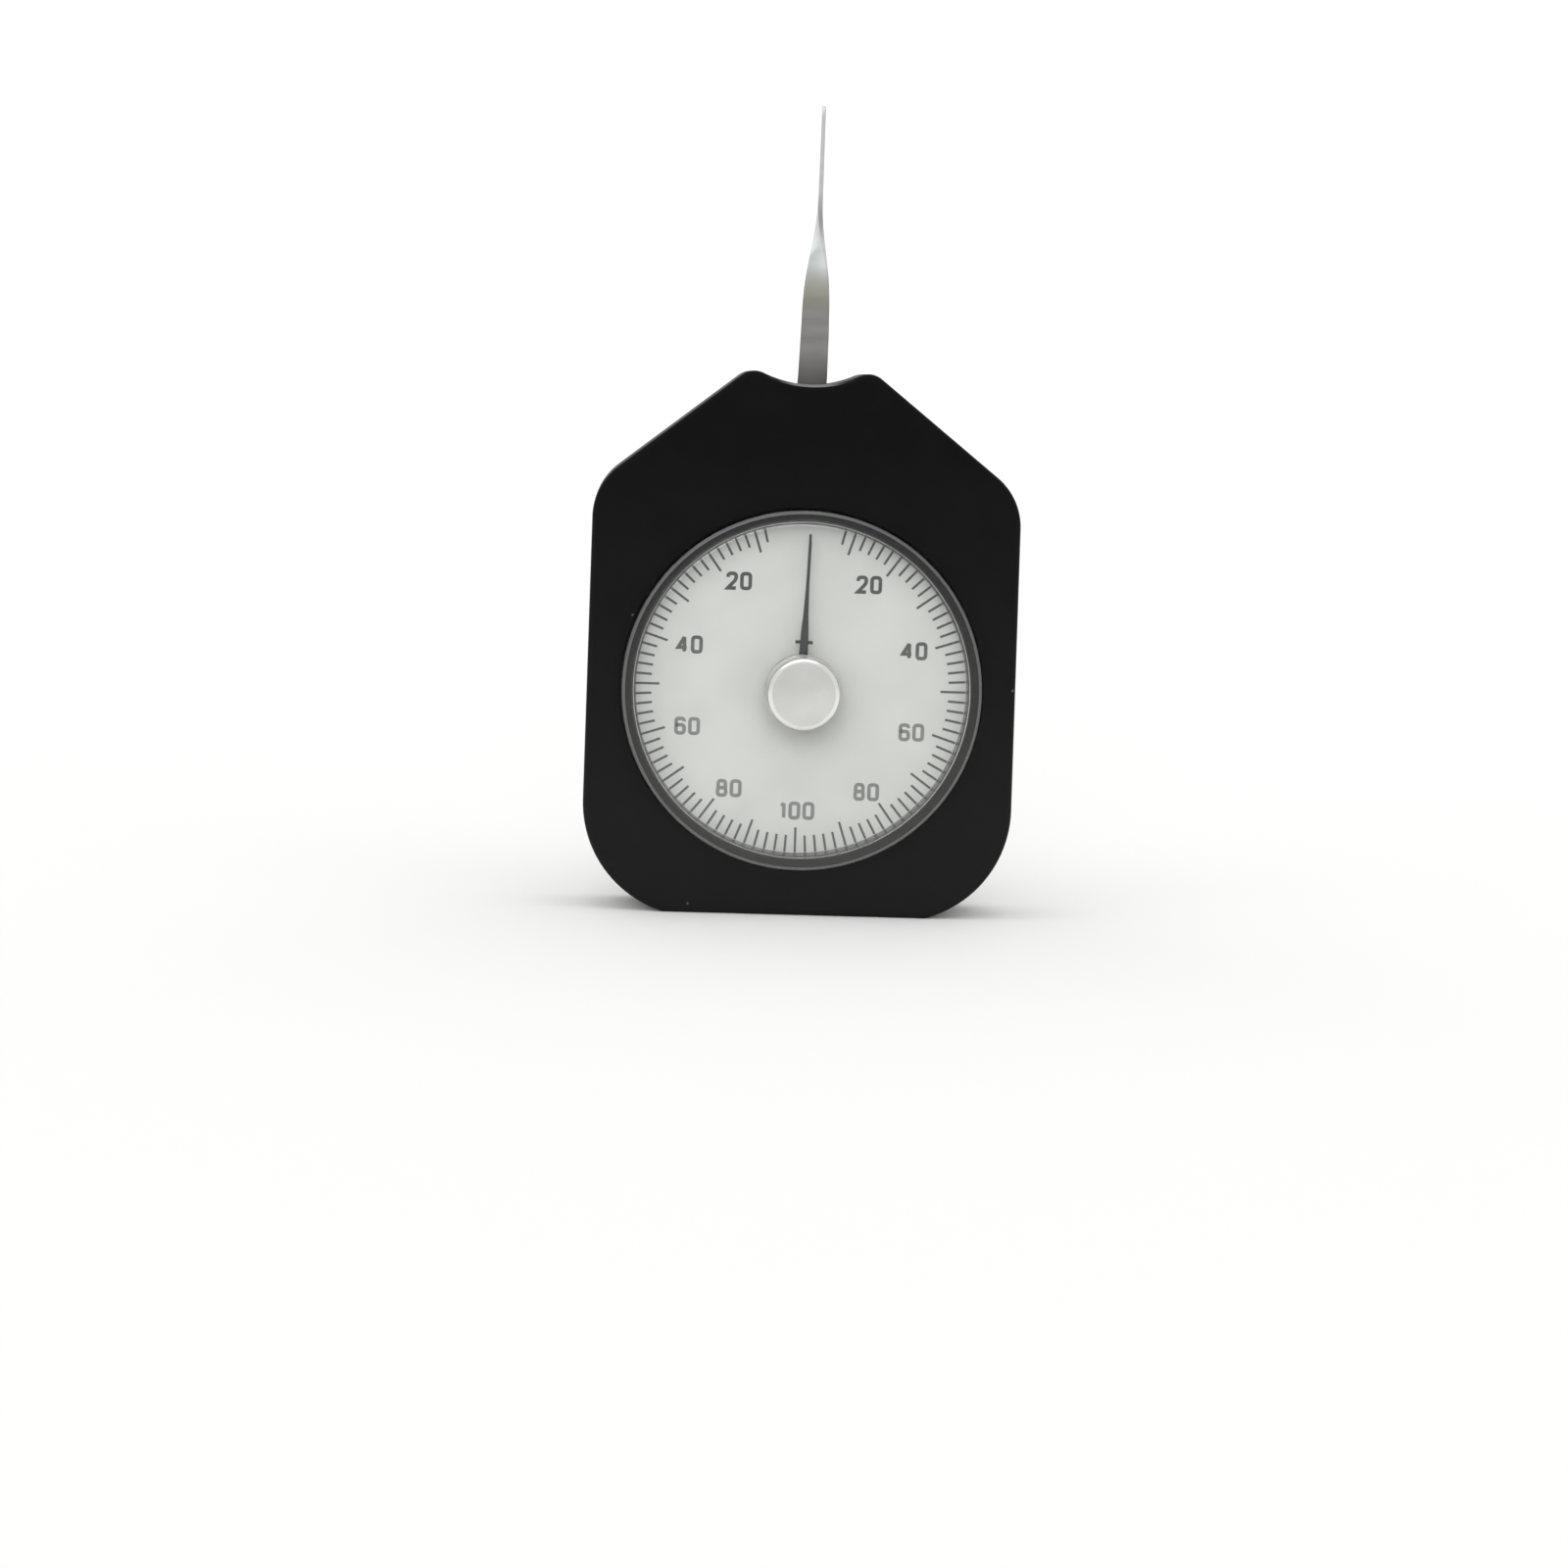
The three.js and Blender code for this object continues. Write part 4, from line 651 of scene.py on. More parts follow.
def case_shell():
    """The front moulding: skirt and face in one, with the ledge that the crystal rests on."""
    front, joint, ledge = CASE_LOW.y, CASE_HIGH.y, CRYSTAL_HIGH.y
    shell = case_slab(0, front, joint)
    round_edge(shell, front, CASE_EDGE)
    round_edge(shell, joint, JOINT_EDGE, 2)
    boolean(shell, case_slab(WALL, front + FRONT_SKIN, joint + OVERRUN), "DIFFERENCE")
    for axis in COVER_SCREW_AXES:
        boolean(shell, rod(BOSS_RADIUS, front + FRONT_SKIN / 2, COVER_LOW.y, axis), "UNION")
    boolean(shell, rod(LEDGE_RING_RADIUS, ledge, DIAL_HIGH.y, steps=160), "UNION")
    window = turned([
        (0, front - OVERRUN, 0),
        (WINDOW_RADIUS + LIP, front - OVERRUN, 0),
        (WINDOW_RADIUS + LIP, front, 0),
        (WINDOW_RADIUS, front + LIP, 0),
        (WINDOW_RADIUS, ledge, 0),
        (LEDGE_FACE_RADIUS, ledge, LEDGE_ROUNDING),
        (LEDGE_RADIUS, DIAL_LOW.y, 0),
        (DIAL_SEAT_RADIUS, DIAL_LOW.y, 0),
        (DIAL_SEAT_RADIUS, DIAL_HIGH.y + OVERRUN, 0),
        (0, DIAL_HIGH.y + OVERRUN, 0),
    ], steps=192)
    boolean(shell, window, "DIFFERENCE")
    slot = block((-SLOT_HALF_WIDTH, SLOT_FRONT, NOTCH_BOTTOM - WALL - OVERRUN),
                 (SLOT_HALF_WIDTH, SLOT_FRONT + SLOT_DEPTH, CASE_HIGH.z + OVERRUN))
    boolean(shell, slot, "DIFFERENCE")
    for axis in COVER_SCREW_AXES:
        boolean(shell, rod(SCREW_HOLE_RADIUS, front + 2 * FRONT_SKIN, joint, axis, 24), "DIFFERENCE")
    tidy_mesh(shell)
    edit_all(shell)
    bpy.ops.mesh.fill_holes(sides=6)  # the slits that the cuts may leave
    leave_edit()
    tidy_mesh(shell)
    finish(shell, "case_shell", "case", BLACK_ABS, "case_black", "front_case")
    second_finish(shell, POLISHED_BLACK, lambda p: ledge + LEDGE_ROUNDING < p.y < DIAL_LOW.y
                  and LEDGE_RADIUS < from_axis(p) + LIP < DIAL_SEAT_RADIUS)
    # the front edge at the lever's slot, with a painted highlight
    second_finish(shell, SLOT_EDGE_HIGHLIGHT, lambda p: front + LIP < p.y < SLOT_FRONT
                  and abs(p.x) < SLOT_HALF_WIDTH and p.z > NOTCH_BOTTOM - CASE_EDGE)
    # the ledge, with painted light in the lower part of the ring
    second_finish(shell, LEDGE_PAINTED_LIGHT,
                  lambda p: abs(p.y - ledge) < LEDGE_ROUNDING and from_axis(p) < WINDOW_RADIUS)


def case_back():
    """The flat back, stepped into the shell, with a counterbored hole for each screw."""
    front, back = COVER_JOINT, COVER_HIGH.y
    cover = case_slab(0, front, back)
    round_edge(cover, back, CASE_EDGE)
    round_edge(cover, front, JOINT_EDGE, 2)
    boolean(cover, case_slab(WALL + SEAT_GAP, COVER_LOW.y, front + OVERRUN), "UNION")
    boolean(cover, rod(PLATE_POCKET_RADIUS, COVER_LOW.y - OVERRUN, front, steps=96), "DIFFERENCE")
    tongue = block((-TONGUE_POCKET_HALF_WIDTH, COVER_LOW.y - OVERRUN, DIAL_Z),
                   (TONGUE_POCKET_HALF_WIDTH, front, PLATE_HIGH.z + SEAT_GAP))
    boolean(cover, tongue, "DIFFERENCE")
    for axis in COVER_SCREW_AXES:
        hole = turned([
            (0, COVER_LOW.y - OVERRUN, 0),
            (SCREW_HOLE_RADIUS, COVER_LOW.y - OVERRUN, 0),
            (SCREW_HOLE_RADIUS, back - COUNTERBORE_DEPTH, 0),
            (COUNTERBORE_RADIUS, back - COUNTERBORE_DEPTH, 0),
            (COUNTERBORE_RADIUS, back - LIP, 0),
            (COUNTERBORE_RADIUS + LIP, back, 0),
            (COUNTERBORE_RADIUS + LIP, back + OVERRUN, 0),
            (0, back + OVERRUN, 0),
        ], 48, axis)
        boolean(cover, hole, "DIFFERENCE")
    tidy_mesh(cover)
    finish(cover, "case_back", "case", BLACK_ABS, "case_black", "back_cover")


SCREW_RADIUS = 0.95 * MM
SCREW_HEAD_HEIGHT = 1 * MM
SCREW_HEAD_EDGE = 0.2 * MM
SCREW_SLOT_DEPTH = 0.45 * MM
SCREW_SLOT_HALF_WIDTH = 0.28 * MM
SCREW_PLAIN_LENGTH = 2 * MM  # of the shank, at its two ends together
SCREW_NECK = 0.8 * MM
THREAD_PITCH = 0.45 * MM
THREAD_DEPTH = 0.22 * MM
SCREW_POINT = ((0.3 * MM, 0.4 * MM), (0.5 * MM, 0))  # in from the shank and up from the end


def case_screws():
    """Slotted cheese-head screws. One is modelled, and the others are its copies, each turned its own way."""
    low, high = COVER_SCREW_BOXES[0]
    axis = COVER_SCREW_AXES[0]
    head, seat, end = high.x - axis.x, high.y - SCREW_HEAD_HEIGHT, low.y
    turns = int((seat - end - SCREW_PLAIN_LENGTH) / THREAD_PITCH)
    crests = [seat - SCREW_NECK - turn * THREAD_PITCH for turn in range(turns)]
    thread = [corner for crest in crests for corner in
              ((SCREW_RADIUS, crest, 0), (SCREW_RADIUS - THREAD_DEPTH, crest - THREAD_PITCH / 2, 0))]
    point = [(SCREW_RADIUS - inwards, end + up, 0) for inwards, up in SCREW_POINT]
    first = turned([
        (0, high.y, 0),
        (head, high.y, SCREW_HEAD_EDGE),
        (head, seat, 0),
        (SCREW_RADIUS, seat, 0),
        *thread,
        *point,
        (0, end, 0),
    ], 40, axis)
    slot = block((axis.x - 2 * head, high.y - SCREW_SLOT_DEPTH, axis.z - SCREW_SLOT_HALF_WIDTH),
                 (axis.x + 2 * head, high.y + OVERRUN, axis.z + SCREW_SLOT_HALF_WIDTH))
    boolean(first, slot, "DIFFERENCE")
    tidy_mesh(first)
    screws = [first] + [copy_of(first) for _ in COVER_SCREW_AXES[1:]]
    for number, (screw, place) in enumerate(zip(screws, COVER_SCREW_AXES)):
        edit_all(screw)
        bpy.ops.transform.rotate(value=number, orient_axis="Y", center_override=axis)
        bpy.ops.transform.translate(value=place - axis)
        leave_edit()
        finish(screw, f"case_screw_{number + 1}", "case", SCREW_STEEL, "screw_steel",
               f"cover_screw_{number + 1}")


# Crystal, knob and hands

EASING = 0.05 * MM
CRYSTAL_RIM_EDGE = 0.4 * MM
CRYSTAL_INNER_EDGE = 0.5 * MM
FLAT_EDGE = 0.15 * MM  # a ring beside each rounding, so that the faces shade flat right up to it
CRYSTAL_WALL = 1.3 * MM
CRYSTAL_THICKNESS = 1.4 * MM
CRYSTAL_BORE = 1.56 * MM
BUSH_SHANK_RADIUS = 1.5 * MM
SPINDLE_BORE = 0.81 * MM
POINTER_BORE = 0.66 * MM
PEAK_SLEEVE_RADIUS = 1.8 * MM
PEAK_DISC_THICKNESS = 0.35 * MM
HUB_EDGE = 0.15 * MM


def crystal_cup():
    """A clear cup: flat over the dial, with a thick skirt that stands on the ledge."""
    radius = CRYSTAL_HIGH.x
    face, rim = CRYSTAL_LOW.y, CRYSTAL_HIGH.y
    inner, inner_face = radius - CRYSTAL_WALL, face + CRYSTAL_THICKNESS
    cup = turned([
        (CRYSTAL_BORE, face, 0),
        (radius - CRYSTAL_RIM_EDGE - FLAT_EDGE, face, 0),
        (radius, face, CRYSTAL_RIM_EDGE),
        (radius, rim, 2 * EASING),
        (inner, rim, 2 * EASING),
        (inner, inner_face, CRYSTAL_INNER_EDGE),
        (inner - CRYSTAL_INNER_EDGE - FLAT_EDGE, inner_face, 0),
        (CRYSTAL_BORE, inner_face, 0),
    ], steps=192)
    finish(cup, "crystal_cup", "case", ACRYLIC, "crystal_clear", "crystal", angle=50)
    second_finish(cup, ACRYLIC_RIM,
                  lambda p: p.y < face + CRYSTAL_RIM_EDGE and from_axis(p) > radius - CRYSTAL_RIM_EDGE)
    cup.visible_shadow = False  # clear acrylic passes the light on to the dial


def ring(bore, low, high, edge, steps=64):
    """A turned ring as wide and deep as a box, with its rim rounded and its bore's edges eased."""
    return turned([
        (bore, low.y, EASING),
        (high.x, low.y, edge),
        (high.x, high.y, edge),
        (bore, high.y, EASING),
    ], steps)


def small_turned_pieces():
    """The bush in the crystal, the washer, the shaft and the two hubs, as they come off the lathe."""
    face = CRYSTAL_LOW.y
    bush = turned([
        (SPINDLE_BORE, BUSH_LOW.y, EASING),
        (BUSH_HIGH.x, BUSH_LOW.y, 0.12 * MM),
        (BUSH_HIGH.x, face, 0),
        (BUSH_SHANK_RADIUS, face, 0),
        (BUSH_SHANK_RADIUS, BUSH_HIGH.y, 2 * EASING),
        (SPINDLE_BORE, BUSH_HIGH.y, EASING),
    ], 64)
    finish(bush, "crystal_flanged_bush", "case", KNOB_NICKEL, "knob_chrome", "crystal_bush")
    washer = ring(SPINDLE_BORE, WASHER_LOW, WASHER_HIGH, EASING)
    finish(washer, "knob_friction_washer", "case", SPRING_STEEL, "spring_steel", "friction_washer")
    shaft = turned([
        (0, SHAFT_LOW.y, 0),
        (SHAFT_HIGH.x, SHAFT_LOW.y, 3 * EASING),
        (SHAFT_HIGH.x, SHAFT_HIGH.y, 2 * EASING),
        (0, SHAFT_HIGH.y, 0),
    ], 48)
    finish(shaft, "knob_spindle", "peak_hand", TURNED_STEEL, "turned_steel", "knob_shaft")
    disc_face = PEAK_HUB_HIGH.y - PEAK_DISC_THICKNESS
    peak = turned([
        (SPINDLE_BORE, PEAK_HUB_LOW.y, 0),
        (PEAK_SLEEVE_RADIUS, PEAK_HUB_LOW.y, 2 * EASING),
        (PEAK_SLEEVE_RADIUS, disc_face, 2 * EASING),
        (PEAK_HUB_HIGH.x, disc_face, 2 * EASING),
        (PEAK_HUB_HIGH.x, PEAK_HUB_HIGH.y, 0.06 * MM),
        (SPINDLE_BORE, PEAK_HUB_HIGH.y, 0),
    ], 96)
    finish(peak, "peak_hand_disc", "peak_hand", HAND_PAINT, "hand_black", "peak_hub")
    hub = ring(POINTER_BORE, HUB_LOW, HUB_HIGH, HUB_EDGE)
    finish(hub, "pointer_boss", "pointer", BRASS, "brass", "pointer_hub")


KNOB_TAPER = 0.2 * MM
KNOB_DOME_RADIUS = 24 * MM
KNOB_DOME_RINGS = (0, 0.7, 1.4, 2, 2.6, 3.1, 3.6, 4)  # in millimetres from the axis
KNOB_EDGE = 0.6 * MM
KNOB_BACK_EDGE = 0.12 * MM
KNOB_BORE_DEPTH = 2.8 * MM


def knob():
    """The reset knob: slightly domed on its face, with a polished rounded rim and a bore for its spindle."""
    face, back = KNOB_LOW.y, KNOB_HIGH.y
    radius, front_radius = KNOB_HIGH.x, KNOB_HIGH.x - KNOB_TAPER
    dome = [(r * MM, face + (r * MM) ** 2 / (2 * KNOB_DOME_RADIUS), 0) for r in KNOB_DOME_RINGS]
    obj = turned([
        *dome,
        (front_radius, dome[-1][1], KNOB_EDGE),
        (radius, back, KNOB_BACK_EDGE),
        (SPINDLE_BORE, back, 0),
        (SPINDLE_BORE, back - KNOB_BORE_DEPTH, 0),
        (0, back - KNOB_BORE_DEPTH, 0),
    ])
    finish(obj, "reset_knob_turned", "peak_hand", KNOB_NICKEL, "knob_chrome", "reset_knob")
    # the polished rim, lighter in colour as a painted highlight
    second_finish(obj, RIM_NICKEL_PAINTED_HIGHLIGHT,
                  lambda p: p.y < face + 2 * KNOB_EDGE and from_axis(p) > front_radius - KNOB_EDGE)


# Heights above the dial's axis and the widths there, in millimetres
HAND_PROFILE = ((-3.6, 1.2), (0, 1.2), (4.6, 1.08), (6.5, 0.98), (8, 0.84), (9.5, 0.62), (13.5, 0.36))
HAND_TIP_WIDTH = 0.32 * MM
HAND_EDGE = 0.02 * MM
POINTER_LENGTH = 20 * MM
PEAK_HAND_LENGTH = 19.2 * MM
HANDS_AT_REST = math.radians(1.7)  # to the right of the dial's zero


def hand_blade(name, body, low, high, length, stands_for):
    """A stamped hand: half its outline is drawn and mirrored, and its edges are eased."""
    stations = [(r * MM, width * MM) for r, width in HAND_PROFILE] + [(length, HAND_TIP_WIDTH)]
    pen = Pen((0, low.y, DIAL_Z + stations[0][0]))
    pen.line(*[(width / 2, low.y, DIAL_Z + r) for r, width in stations], (0, low.y, DIAL_Z + length))
    leave_edit()
    hand = slab_of(pen.obj, high.y - low.y)
    edit_all(hand)
    bpy.ops.transform.rotate(value=-HANDS_AT_REST, orient_axis="Y", center_override=DIAL_AXIS)
    leave_edit()
    modify(hand, "BEVEL", width=HAND_EDGE, segments=2, limit_method="ANGLE")
    finish(hand, name, body, HAND_PAINT, "hand_black", stands_for)


# Dial

DIAL_BORE = 1.2 * MM
PRINT_HEIGHT = 0.012 * MM
TICK_WIDTH = 0.31 * MM
TICK_OUTER = 21.5 * MM
SHORT_TICK_INNER = 19.3 * MM
LONG_TICK_INNER = 18.25 * MM
TICK_PITCH = math.radians(3.6)
FIRST_TICK, LONG_TICK_EVERY, HALF_TURN_TICKS = 4, 5, 50


def dial_disc():
    disc = ring(DIAL_BORE, DIAL_LOW, DIAL_HIGH, EASING, steps=160)
    finish(disc, "dial_disc", "case", ENAMEL, "dial_white", "dial_plate")


def tick(inner, number):
    """One printed line at a tick's place, left in edit mode."""
    obj = block((-TICK_WIDTH / 2, DIAL_LOW.y - PRINT_HEIGHT, DIAL_Z + inner),
                (TICK_WIDTH / 2, DIAL_LOW.y, DIAL_Z + TICK_OUTER))
    edit_all(obj)
    bpy.ops.transform.rotate(value=number * TICK_PITCH, orient_axis="Y", center_override=DIAL_AXIS)
    return obj


def repeat_round(count, ticks_apart):
    """Copies all of the mesh in edit mode round the dial."""
    bpy.ops.mesh.select_all(action="SELECT")
    bpy.ops.mesh.spin(steps=count, angle=count * ticks_apart * TICK_PITCH, center=DIAL_AXIS,
                      axis=(0, 1, 0), dupli=True)


def dial_ticks():
    """Ticks run round from 4 to 96, with the top left bare. Every fifth one is long."""
    parts = []
    for number in (FIRST_TICK, -FIRST_TICK):
        parts.append(tick(SHORT_TICK_INNER, number))
        leave_edit()
    parts.append(tick(SHORT_TICK_INNER, LONG_TICK_EVERY + 1))
    repeat_round(LONG_TICK_EVERY - 2, 1)
    repeat_round(2 * HALF_TURN_TICKS // LONG_TICK_EVERY - 3, LONG_TICK_EVERY)
    leave_edit()
    parts.append(tick(LONG_TICK_INNER, LONG_TICK_EVERY))
    repeat_round(2 * HALF_TURN_TICKS // LONG_TICK_EVERY - 2, LONG_TICK_EVERY)
    leave_edit()
    ticks = join_all(parts)
    tidy_mesh(ticks)
    finish(ticks, "dial_ticks", "case", TICK_INK, "dial_white")


# Numerals: each is one or two strokes, in shares of its width and height. The middle of a stroke is drawn.
NUMERAL_HEIGHT = 2.36 * MM
NUMERAL_STROKE = 0.47 * MM
NUMERAL_WIDTHS = {"0": 1.55, "1": 0.9, "2": 1.52, "4": 1.6, "6": 1.52, "8": 1.52}
NUMERAL_GAP = 0.28 * MM
NUMERAL_ROUNDING = 0.34 * MM
NUMERAL_STROKE_SHARES = {
    "0": [[(0, 0), (1, 0), (1, 1), (0, 1), (0, 0)]],
    "1": [[(0, 0.8), (0.8, 1)], [(0.8, 1), (0.8, 0)]],
    "2": [[(0, 0.74), (0, 1), (1, 1), (1, 0.6), (0, 0), (1, 0)]],
    "4": [[(0.72, 1), (0, 0.28), (1, 0.28)], [(0.72, 1), (0.72, 0)]],
    "6": [[(1, 0.8), (1, 1), (0, 1), (0, 0), (1, 0), (1, 0.56), (0, 0.56)]],
    "8": [[(0, 0), (1, 0), (1, 0.52), (0, 0.52), (0, 0)],
          [(0.05, 0.52), (0.05, 1), (0.95, 1), (0.95, 0.52)]],
}
SHARPEST_ROUNDED = math.radians(100)
SECOND_STROKE_LOWER = 0.2  # of the print's height, so that no two faces of a numeral coincide
# What is printed, and the place of its middle from the dial's axis, in millimetres
DIAL_NUMBERS = (
    ("20", -8.35, 13.60), ("20", 8.50, 13.60), ("40", -14.50, 5.20), ("40", 14.65, 5.20),
    ("60", -14.50, -5.40), ("60", 14.65, -5.40), ("80", -8.85, -13.35), ("80", 9.05, -13.35),
    ("100", 0.1, -16.05),
)


def numeral(digit):
    """One digit, drawn as wires with rounded corners that get the ink's height and the stroke's width."""
    width = NUMERAL_WIDTHS[digit] * MM - NUMERAL_STROKE
    height = NUMERAL_HEIGHT - NUMERAL_STROKE
    strokes = []
    for layer, shares in enumerate(NUMERAL_STROKE_SHARES[digit]):
        stops = [Vector(((u - 0.5) * width, 0, (v - 0.5) * height)) for u, v in shares]
        pen = Pen(stops[0])
        pen.line(*stops[1:])
        bpy.ops.mesh.select_all(action="SELECT")
        bpy.ops.mesh.remove_doubles(threshold=TOUCH)
        corners = list(zip(stops, stops[1:], stops[2:]))
        if shares[0] == shares[-1]:
            corners.append((stops[-2], stops[0], stops[1]))
        blunt = [at for before, at, after in corners
                 if (at - before).angle(after - at) < SHARPEST_ROUNDED]
        if pick(pen.obj, "VERT", lambda p: any((p - at).length < TOUCH for at in blunt)):
            bpy.ops.mesh.bevel(offset=NUMERAL_ROUNDING, segments=4, affect="VERTICES")
        bpy.ops.mesh.select_all(action="SELECT")
        lift = PRINT_HEIGHT * (1 - SECOND_STROKE_LOWER * layer)
        bpy.ops.mesh.extrude_region_move(TRANSFORM_OT_translate={"value": (0, -lift, 0)})
        bpy.ops.mesh.select_all(action="SELECT")
        bpy.ops.mesh.normals_make_consistent(inside=False)
        leave_edit()
        modify(pen.obj, "SOLIDIFY", thickness=NUMERAL_STROKE, offset=0, use_even_offset=True)
        strokes.append(pen.obj)
    return join_all(strokes)


def dial_numerals():
    """The numbers are set from copies of the digits."""
    models = {digit: numeral(digit) for digit in NUMERAL_STROKE_SHARES}
    placed = []
    for number, x, z in DIAL_NUMBERS:
        widths = [NUMERAL_WIDTHS[digit] * MM for digit in number]
        left = x * MM - (sum(widths) + NUMERAL_GAP * (len(number) - 1)) / 2
        for digit, width in zip(number, widths):
            copy = copy_of(models[digit])
            edit_all(copy)
            bpy.ops.transform.translate(value=(left + width / 2, DIAL_LOW.y, DIAL_Z + z * MM))
            leave_edit()
            placed.append(copy)
            left += width + NUMERAL_GAP
    for model in models.values():
        bpy.data.objects.remove(model)
    numerals = join_all(placed)
    tidy_mesh(numerals)
    finish(numerals, "dial_numerals", "case", NUMERAL_INK, "dial_white")


# Lever

# Heights above the pivot, widths and thicknesses, in millimetres
LEVER_FOOT, CLAMP_TOP = 1.5, 5.6
TWIST_START, TWIST_END = 16, 33
TIP_START, TIP_BEND, LEVER_TIP = 44.9, 45.2, 45.4
LEVER_WIDTHS = ((LEVER_FOOT, 3.9), (CLAMP_TOP, 3.9), (TWIST_START, 3.66), (TWIST_END, 3.0),
                (TIP_START, 1.1), (TIP_BEND, 0.8), (LEVER_TIP, 0.35))
LEVER_THICKNESSES = ((LEVER_FOOT, 0.5), (TWIST_START, 0.5), (TWIST_END, 0.6), (LEVER_TIP, 0.52))
LEVER_LEANS = ((0, 0), (CLAMP_TOP, 0), (10, 0.4), (TWIST_START, 0.52), (LEVER_TIP, 0.75))
CLAMP_HOLES = (2.6, 4.5)
CLAMP_HOLE_RADIUS = 0.52 * MM
LEVER_MIDDLE_Y = 0.15 * MM
LEVER_EDGE = 0.09 * MM


def along(stations, at):
    """The value at a place between stations, in a straight line from one to the next."""
    for (low, a), (high, b) in zip(stations, stations[1:]):
        if at <= high:
            return a + (b - a) * (at - low) / (high - low)
    return stations[-1][1]


def spaced(low, high, steps):
    """Heights from one to the next in even steps, without the last."""
    return [low + (high - low) * step / steps for step in range(steps)]


def lever_strip():
    """One steel strip: drawn up ring by ring from its foot, and then turned ring by ring to twist it."""
    centre = (0, LEVER_MIDDLE_Y, 0)
    heights = [LEVER_FOOT, *spaced(CLAMP_TOP, TWIST_START, 8), *spaced(TWIST_START, TWIST_END, 34),
               *spaced(TWIST_END, TIP_START, 8), TIP_START, TIP_BEND, LEVER_TIP]
    obj = sheet((0, LEVER_MIDDLE_Y, PIVOT_Z + LEVER_FOOT * MM), LEVER_WIDTHS[0][1] * MM,
                LEVER_THICKNESSES[0][1] * MM)
    for low, high in zip(heights, heights[1:]):
        bpy.ops.mesh.extrude_region_move(TRANSFORM_OT_translate={"value": (0, 0, (high - low) * MM)})
        wider, thicker = (along(stations, high) / along(stations, low)
                          for stations in (LEVER_WIDTHS, LEVER_THICKNESSES))
        bpy.ops.transform.resize(value=(wider, thicker, 1), center_override=centre)
    for height in heights:
        share = min(1, max(0, (height - TWIST_START) / (TWIST_END - TWIST_START)))
        twist = math.pi / 2 * share * share * (3 - 2 * share)  # slow at both ends of the twist
        lean = along(LEVER_LEANS, height) * MM
        pick(obj, "VERT", lambda p: abs(p.z - PIVOT_Z - height * MM) < 10 * TOUCH)
        if twist:
            bpy.ops.transform.rotate(value=twist, orient_axis="Z", center_override=centre)
        bpy.ops.transform.translate(value=(lean, 0, 0))
    leave_edit()
    tidy_mesh(obj)
    for height in CLAMP_HOLES:
        axis = Vector((0, 0, PIVOT_Z + height * MM))
        hole = rod(CLAMP_HOLE_RADIUS, LEVER_MIDDLE_Y - OVERRUN, LEVER_MIDDLE_Y + OVERRUN, axis, 24)
        boolean(obj, hole, "DIFFERENCE")
    modify(obj, "BEVEL", width=LEVER_EDGE, segments=3, limit_method="ANGLE", angle_limit=math.radians(50))
    finish(obj, "feeler_strip", "lever", LEVER_STEEL, "lever_steel", "feeler_lever", angle=40)


# Finish of the CAD nodes that keep their shape

CAD_FINISHES = (
    (BRASS, "movement_front_plate movement_back_plate pillar_1 pillar_2 pillar_3 pillar_4 lever_holder "
            "pinion_bush_front pinion_bush_back lever_bush_front lever_bush_back sector_gear spring_collet "
            "hairspring_collet measuring_spring_stud hairspring_stud"),
    (SPRING_STEEL, "measuring_spring hairspring shaft_clip"),
    (LEVER_STEEL, "clamp_plate"),
    (TURNED_STEEL, "lever_arbor pinion_arbor stop_pin_1 stop_pin_2"),
    (SCREW_STEEL, "movement_screw_1 movement_screw_2 movement_screw_3 pillar_screw_1 pillar_screw_2 "
                  "pillar_screw_3 pillar_screw_4 clamp_screw_1 clamp_screw_2"),
    (HAND_PAINT, "peak_driver"),
)


def finish_cad_nodes():
    for material, names in CAD_FINISHES:
        for name in names.split():
            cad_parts[name].material_slots[0].material = material


# Stage, in metres

FLOOR_WIDTH = 8
FLOOR_FRONT = -4
FLOOR_BACK = 2.5
SWEEP_RADIUS = 1.2
WALL_HEIGHT = 4
WORLD_GREY = 0.8


def pale_backdrop():
    """A floor of plain white paper that sweeps up into a wall behind the gauge: matt, so it looks even."""
    material, _ = new_material("pale_paper", Base_Color=linear("#fbfbfa"), Roughness=0.9, IOR=PAPER_IOR)
    height = CASE_LOW.z
    floor = sheet((0, (FLOOR_FRONT + FLOOR_BACK) / 2, height), FLOOR_WIDTH, FLOOR_BACK - FLOOR_FRONT)
    pick(floor, "EDGE", lambda p: p.y > FLOOR_BACK - MM)
    bpy.ops.mesh.spin(steps=16, angle=math.pi / 2, center=(0, FLOOR_BACK, height + SWEEP_RADIUS),
                      axis=(-1, 0, 0))
    bpy.ops.mesh.extrude_region_move(TRANSFORM_OT_translate={"value": (0, 0, WALL_HEIGHT)})
    bpy.ops.mesh.select_all(action="SELECT")
    bpy.ops.mesh.remove_doubles(threshold=MM)
    bpy.ops.mesh.normals_make_consistent(inside=False)
    leave_edit()
    smooth(floor)
    floor.name = "pale_floor"
    floor.data.materials.append(material)


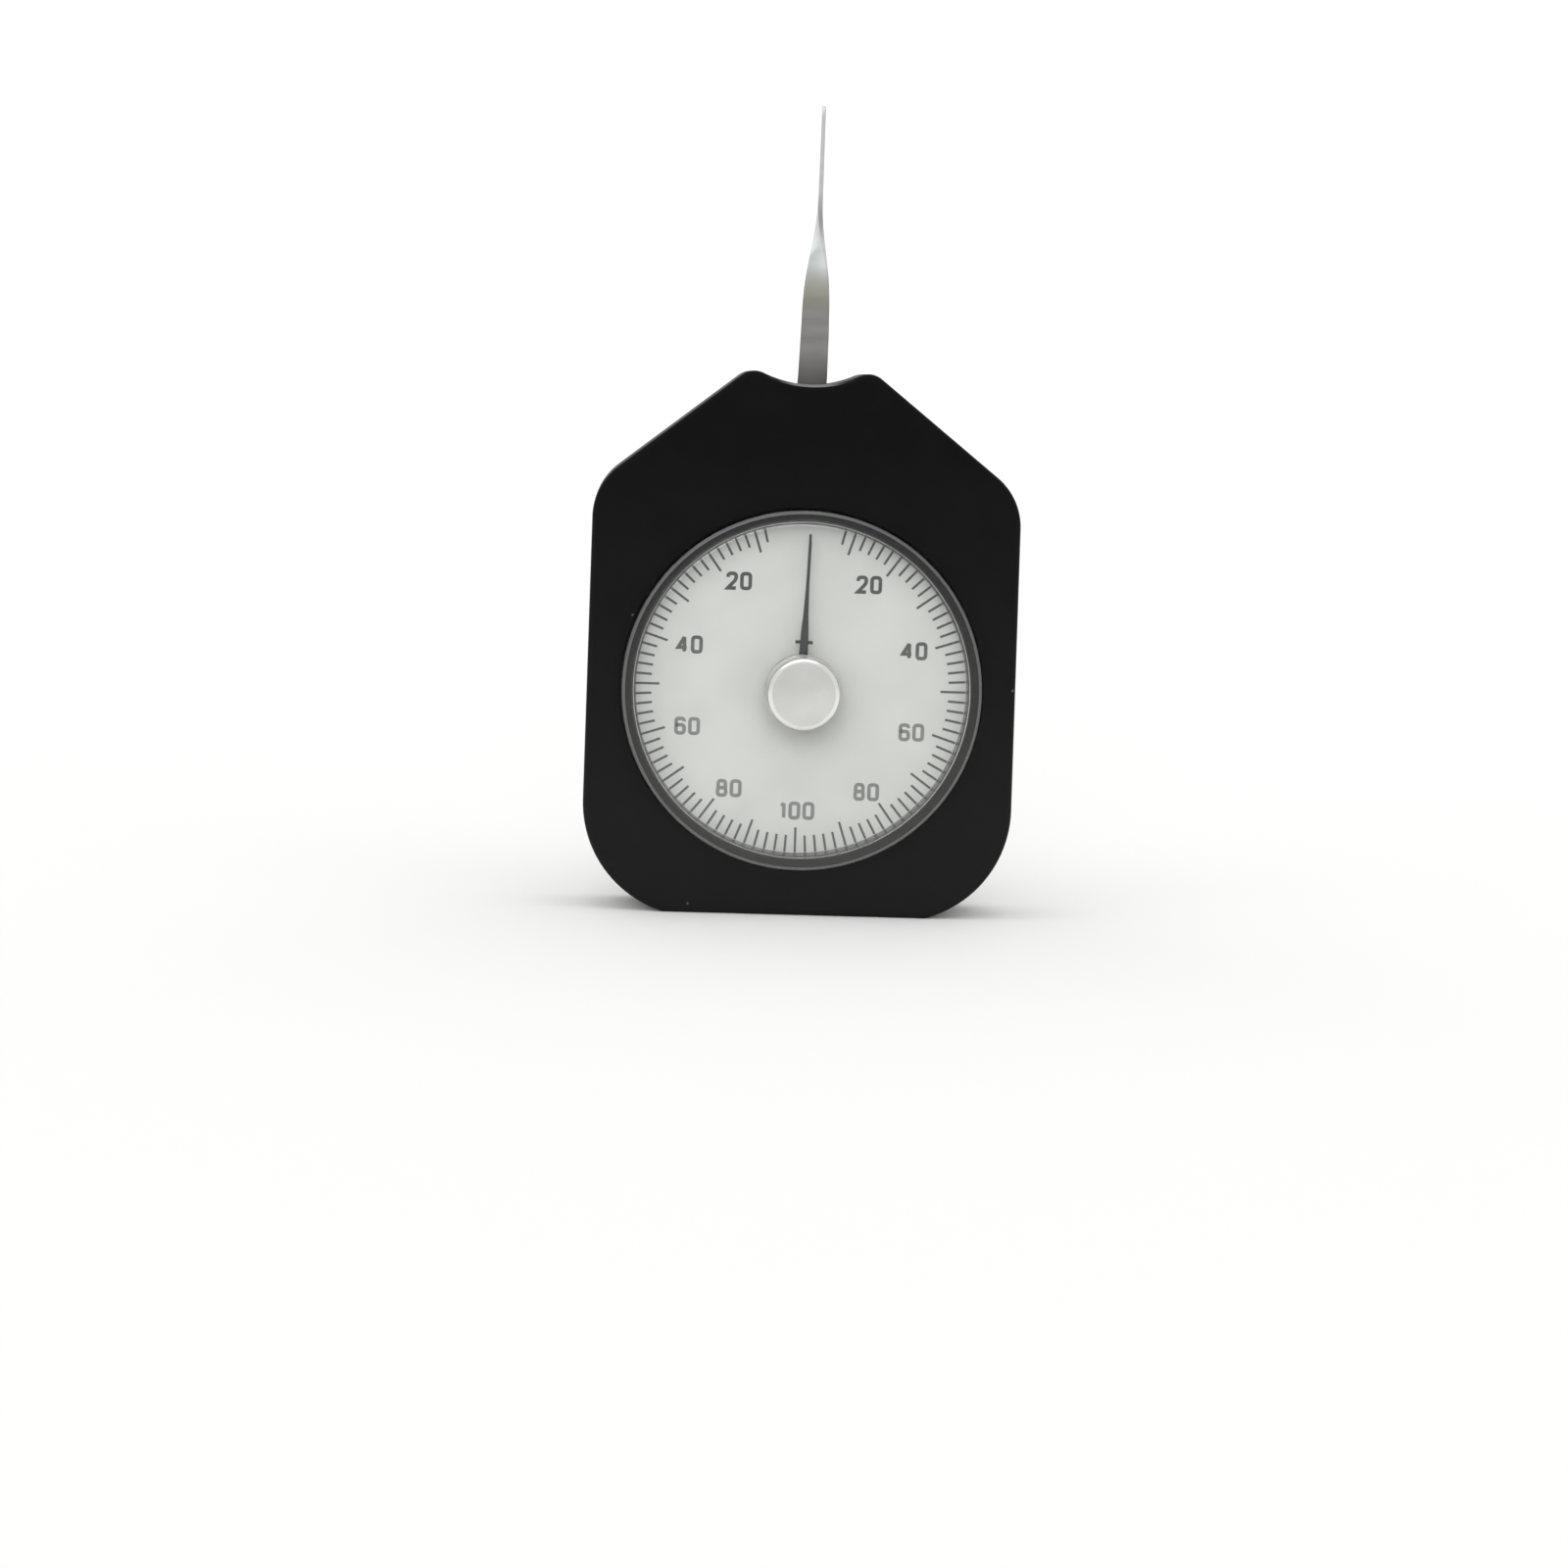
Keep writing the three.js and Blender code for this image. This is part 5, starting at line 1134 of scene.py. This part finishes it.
def softbox(name, energy, spread, height, side, mirrored=True):
    """A broad light from a height above the horizon and a side, both in degrees. One that isn't mirrored
    doesn't show in shiny pieces."""
    lamp = bpy.data.lights.new(name, "SUN")
    lamp.energy = energy
    lamp.angle = math.radians(spread)
    light = bpy.data.objects.new(name, lamp)
    light.rotation_euler = (math.radians(90 - height), 0, math.radians(side))
    light.visible_glossy = mirrored
    bpy.context.scene.collection.objects.link(light)


def soft_light():
    """An even studio, with one softbox overhead and one near the camera."""
    world = bpy.data.worlds.new("studio")
    world.use_nodes = True
    sky = world.node_tree.nodes["Background"].inputs
    sky["Color"].default_value = (WORLD_GREY, WORLD_GREY, WORLD_GREY, 1)
    sky["Strength"].default_value = 1.0
    bpy.context.scene.world = world
    softbox("overhead_softbox", energy=0.5, spread=64, height=58, side=-15)
    softbox("front_softbox", energy=0.8, spread=24, height=12.3, side=-4, mirrored=False)
    bpy.context.scene.view_settings.view_transform = "Standard"


def make_camera():
    data = bpy.data.cameras.new("camera")
    data.sensor_width = SENSOR / MM
    data.lens = LENS / MM
    data.clip_start, data.clip_end = NEAR_CLIP, FAR_CLIP
    camera = bpy.data.objects.new("camera", data)
    bpy.context.scene.collection.objects.link(camera)
    back = Vector((math.sin(AZIMUTH) * math.cos(ELEVATION), -math.cos(AZIMUTH) * math.cos(ELEVATION),
                   math.sin(ELEVATION)))
    camera.location = AIM + back * (VIEW_WIDTH * LENS / SENSOR)
    turn = (-back).to_track_quat("-Z", "Y").to_matrix() @ Matrix.Rotation(ROLL, 3, "Z")
    camera.rotation_euler = turn.to_euler()
    bpy.context.scene.camera = camera


make_camera()
case_shell()
case_back()
case_screws()
crystal_cup()
small_turned_pieces()
knob()
hand_blade("pointer_blade", "pointer", POINTER_LOW, POINTER_HIGH, POINTER_LENGTH, "pointer")
hand_blade("peak_blade", "peak_hand", PEAK_HAND_LOW, PEAK_HAND_HIGH, PEAK_HAND_LENGTH, "peak_hand")
dial_disc()
dial_ticks()
dial_numerals()
lever_strip()
finish_cad_nodes()
pale_backdrop()
soft_light()
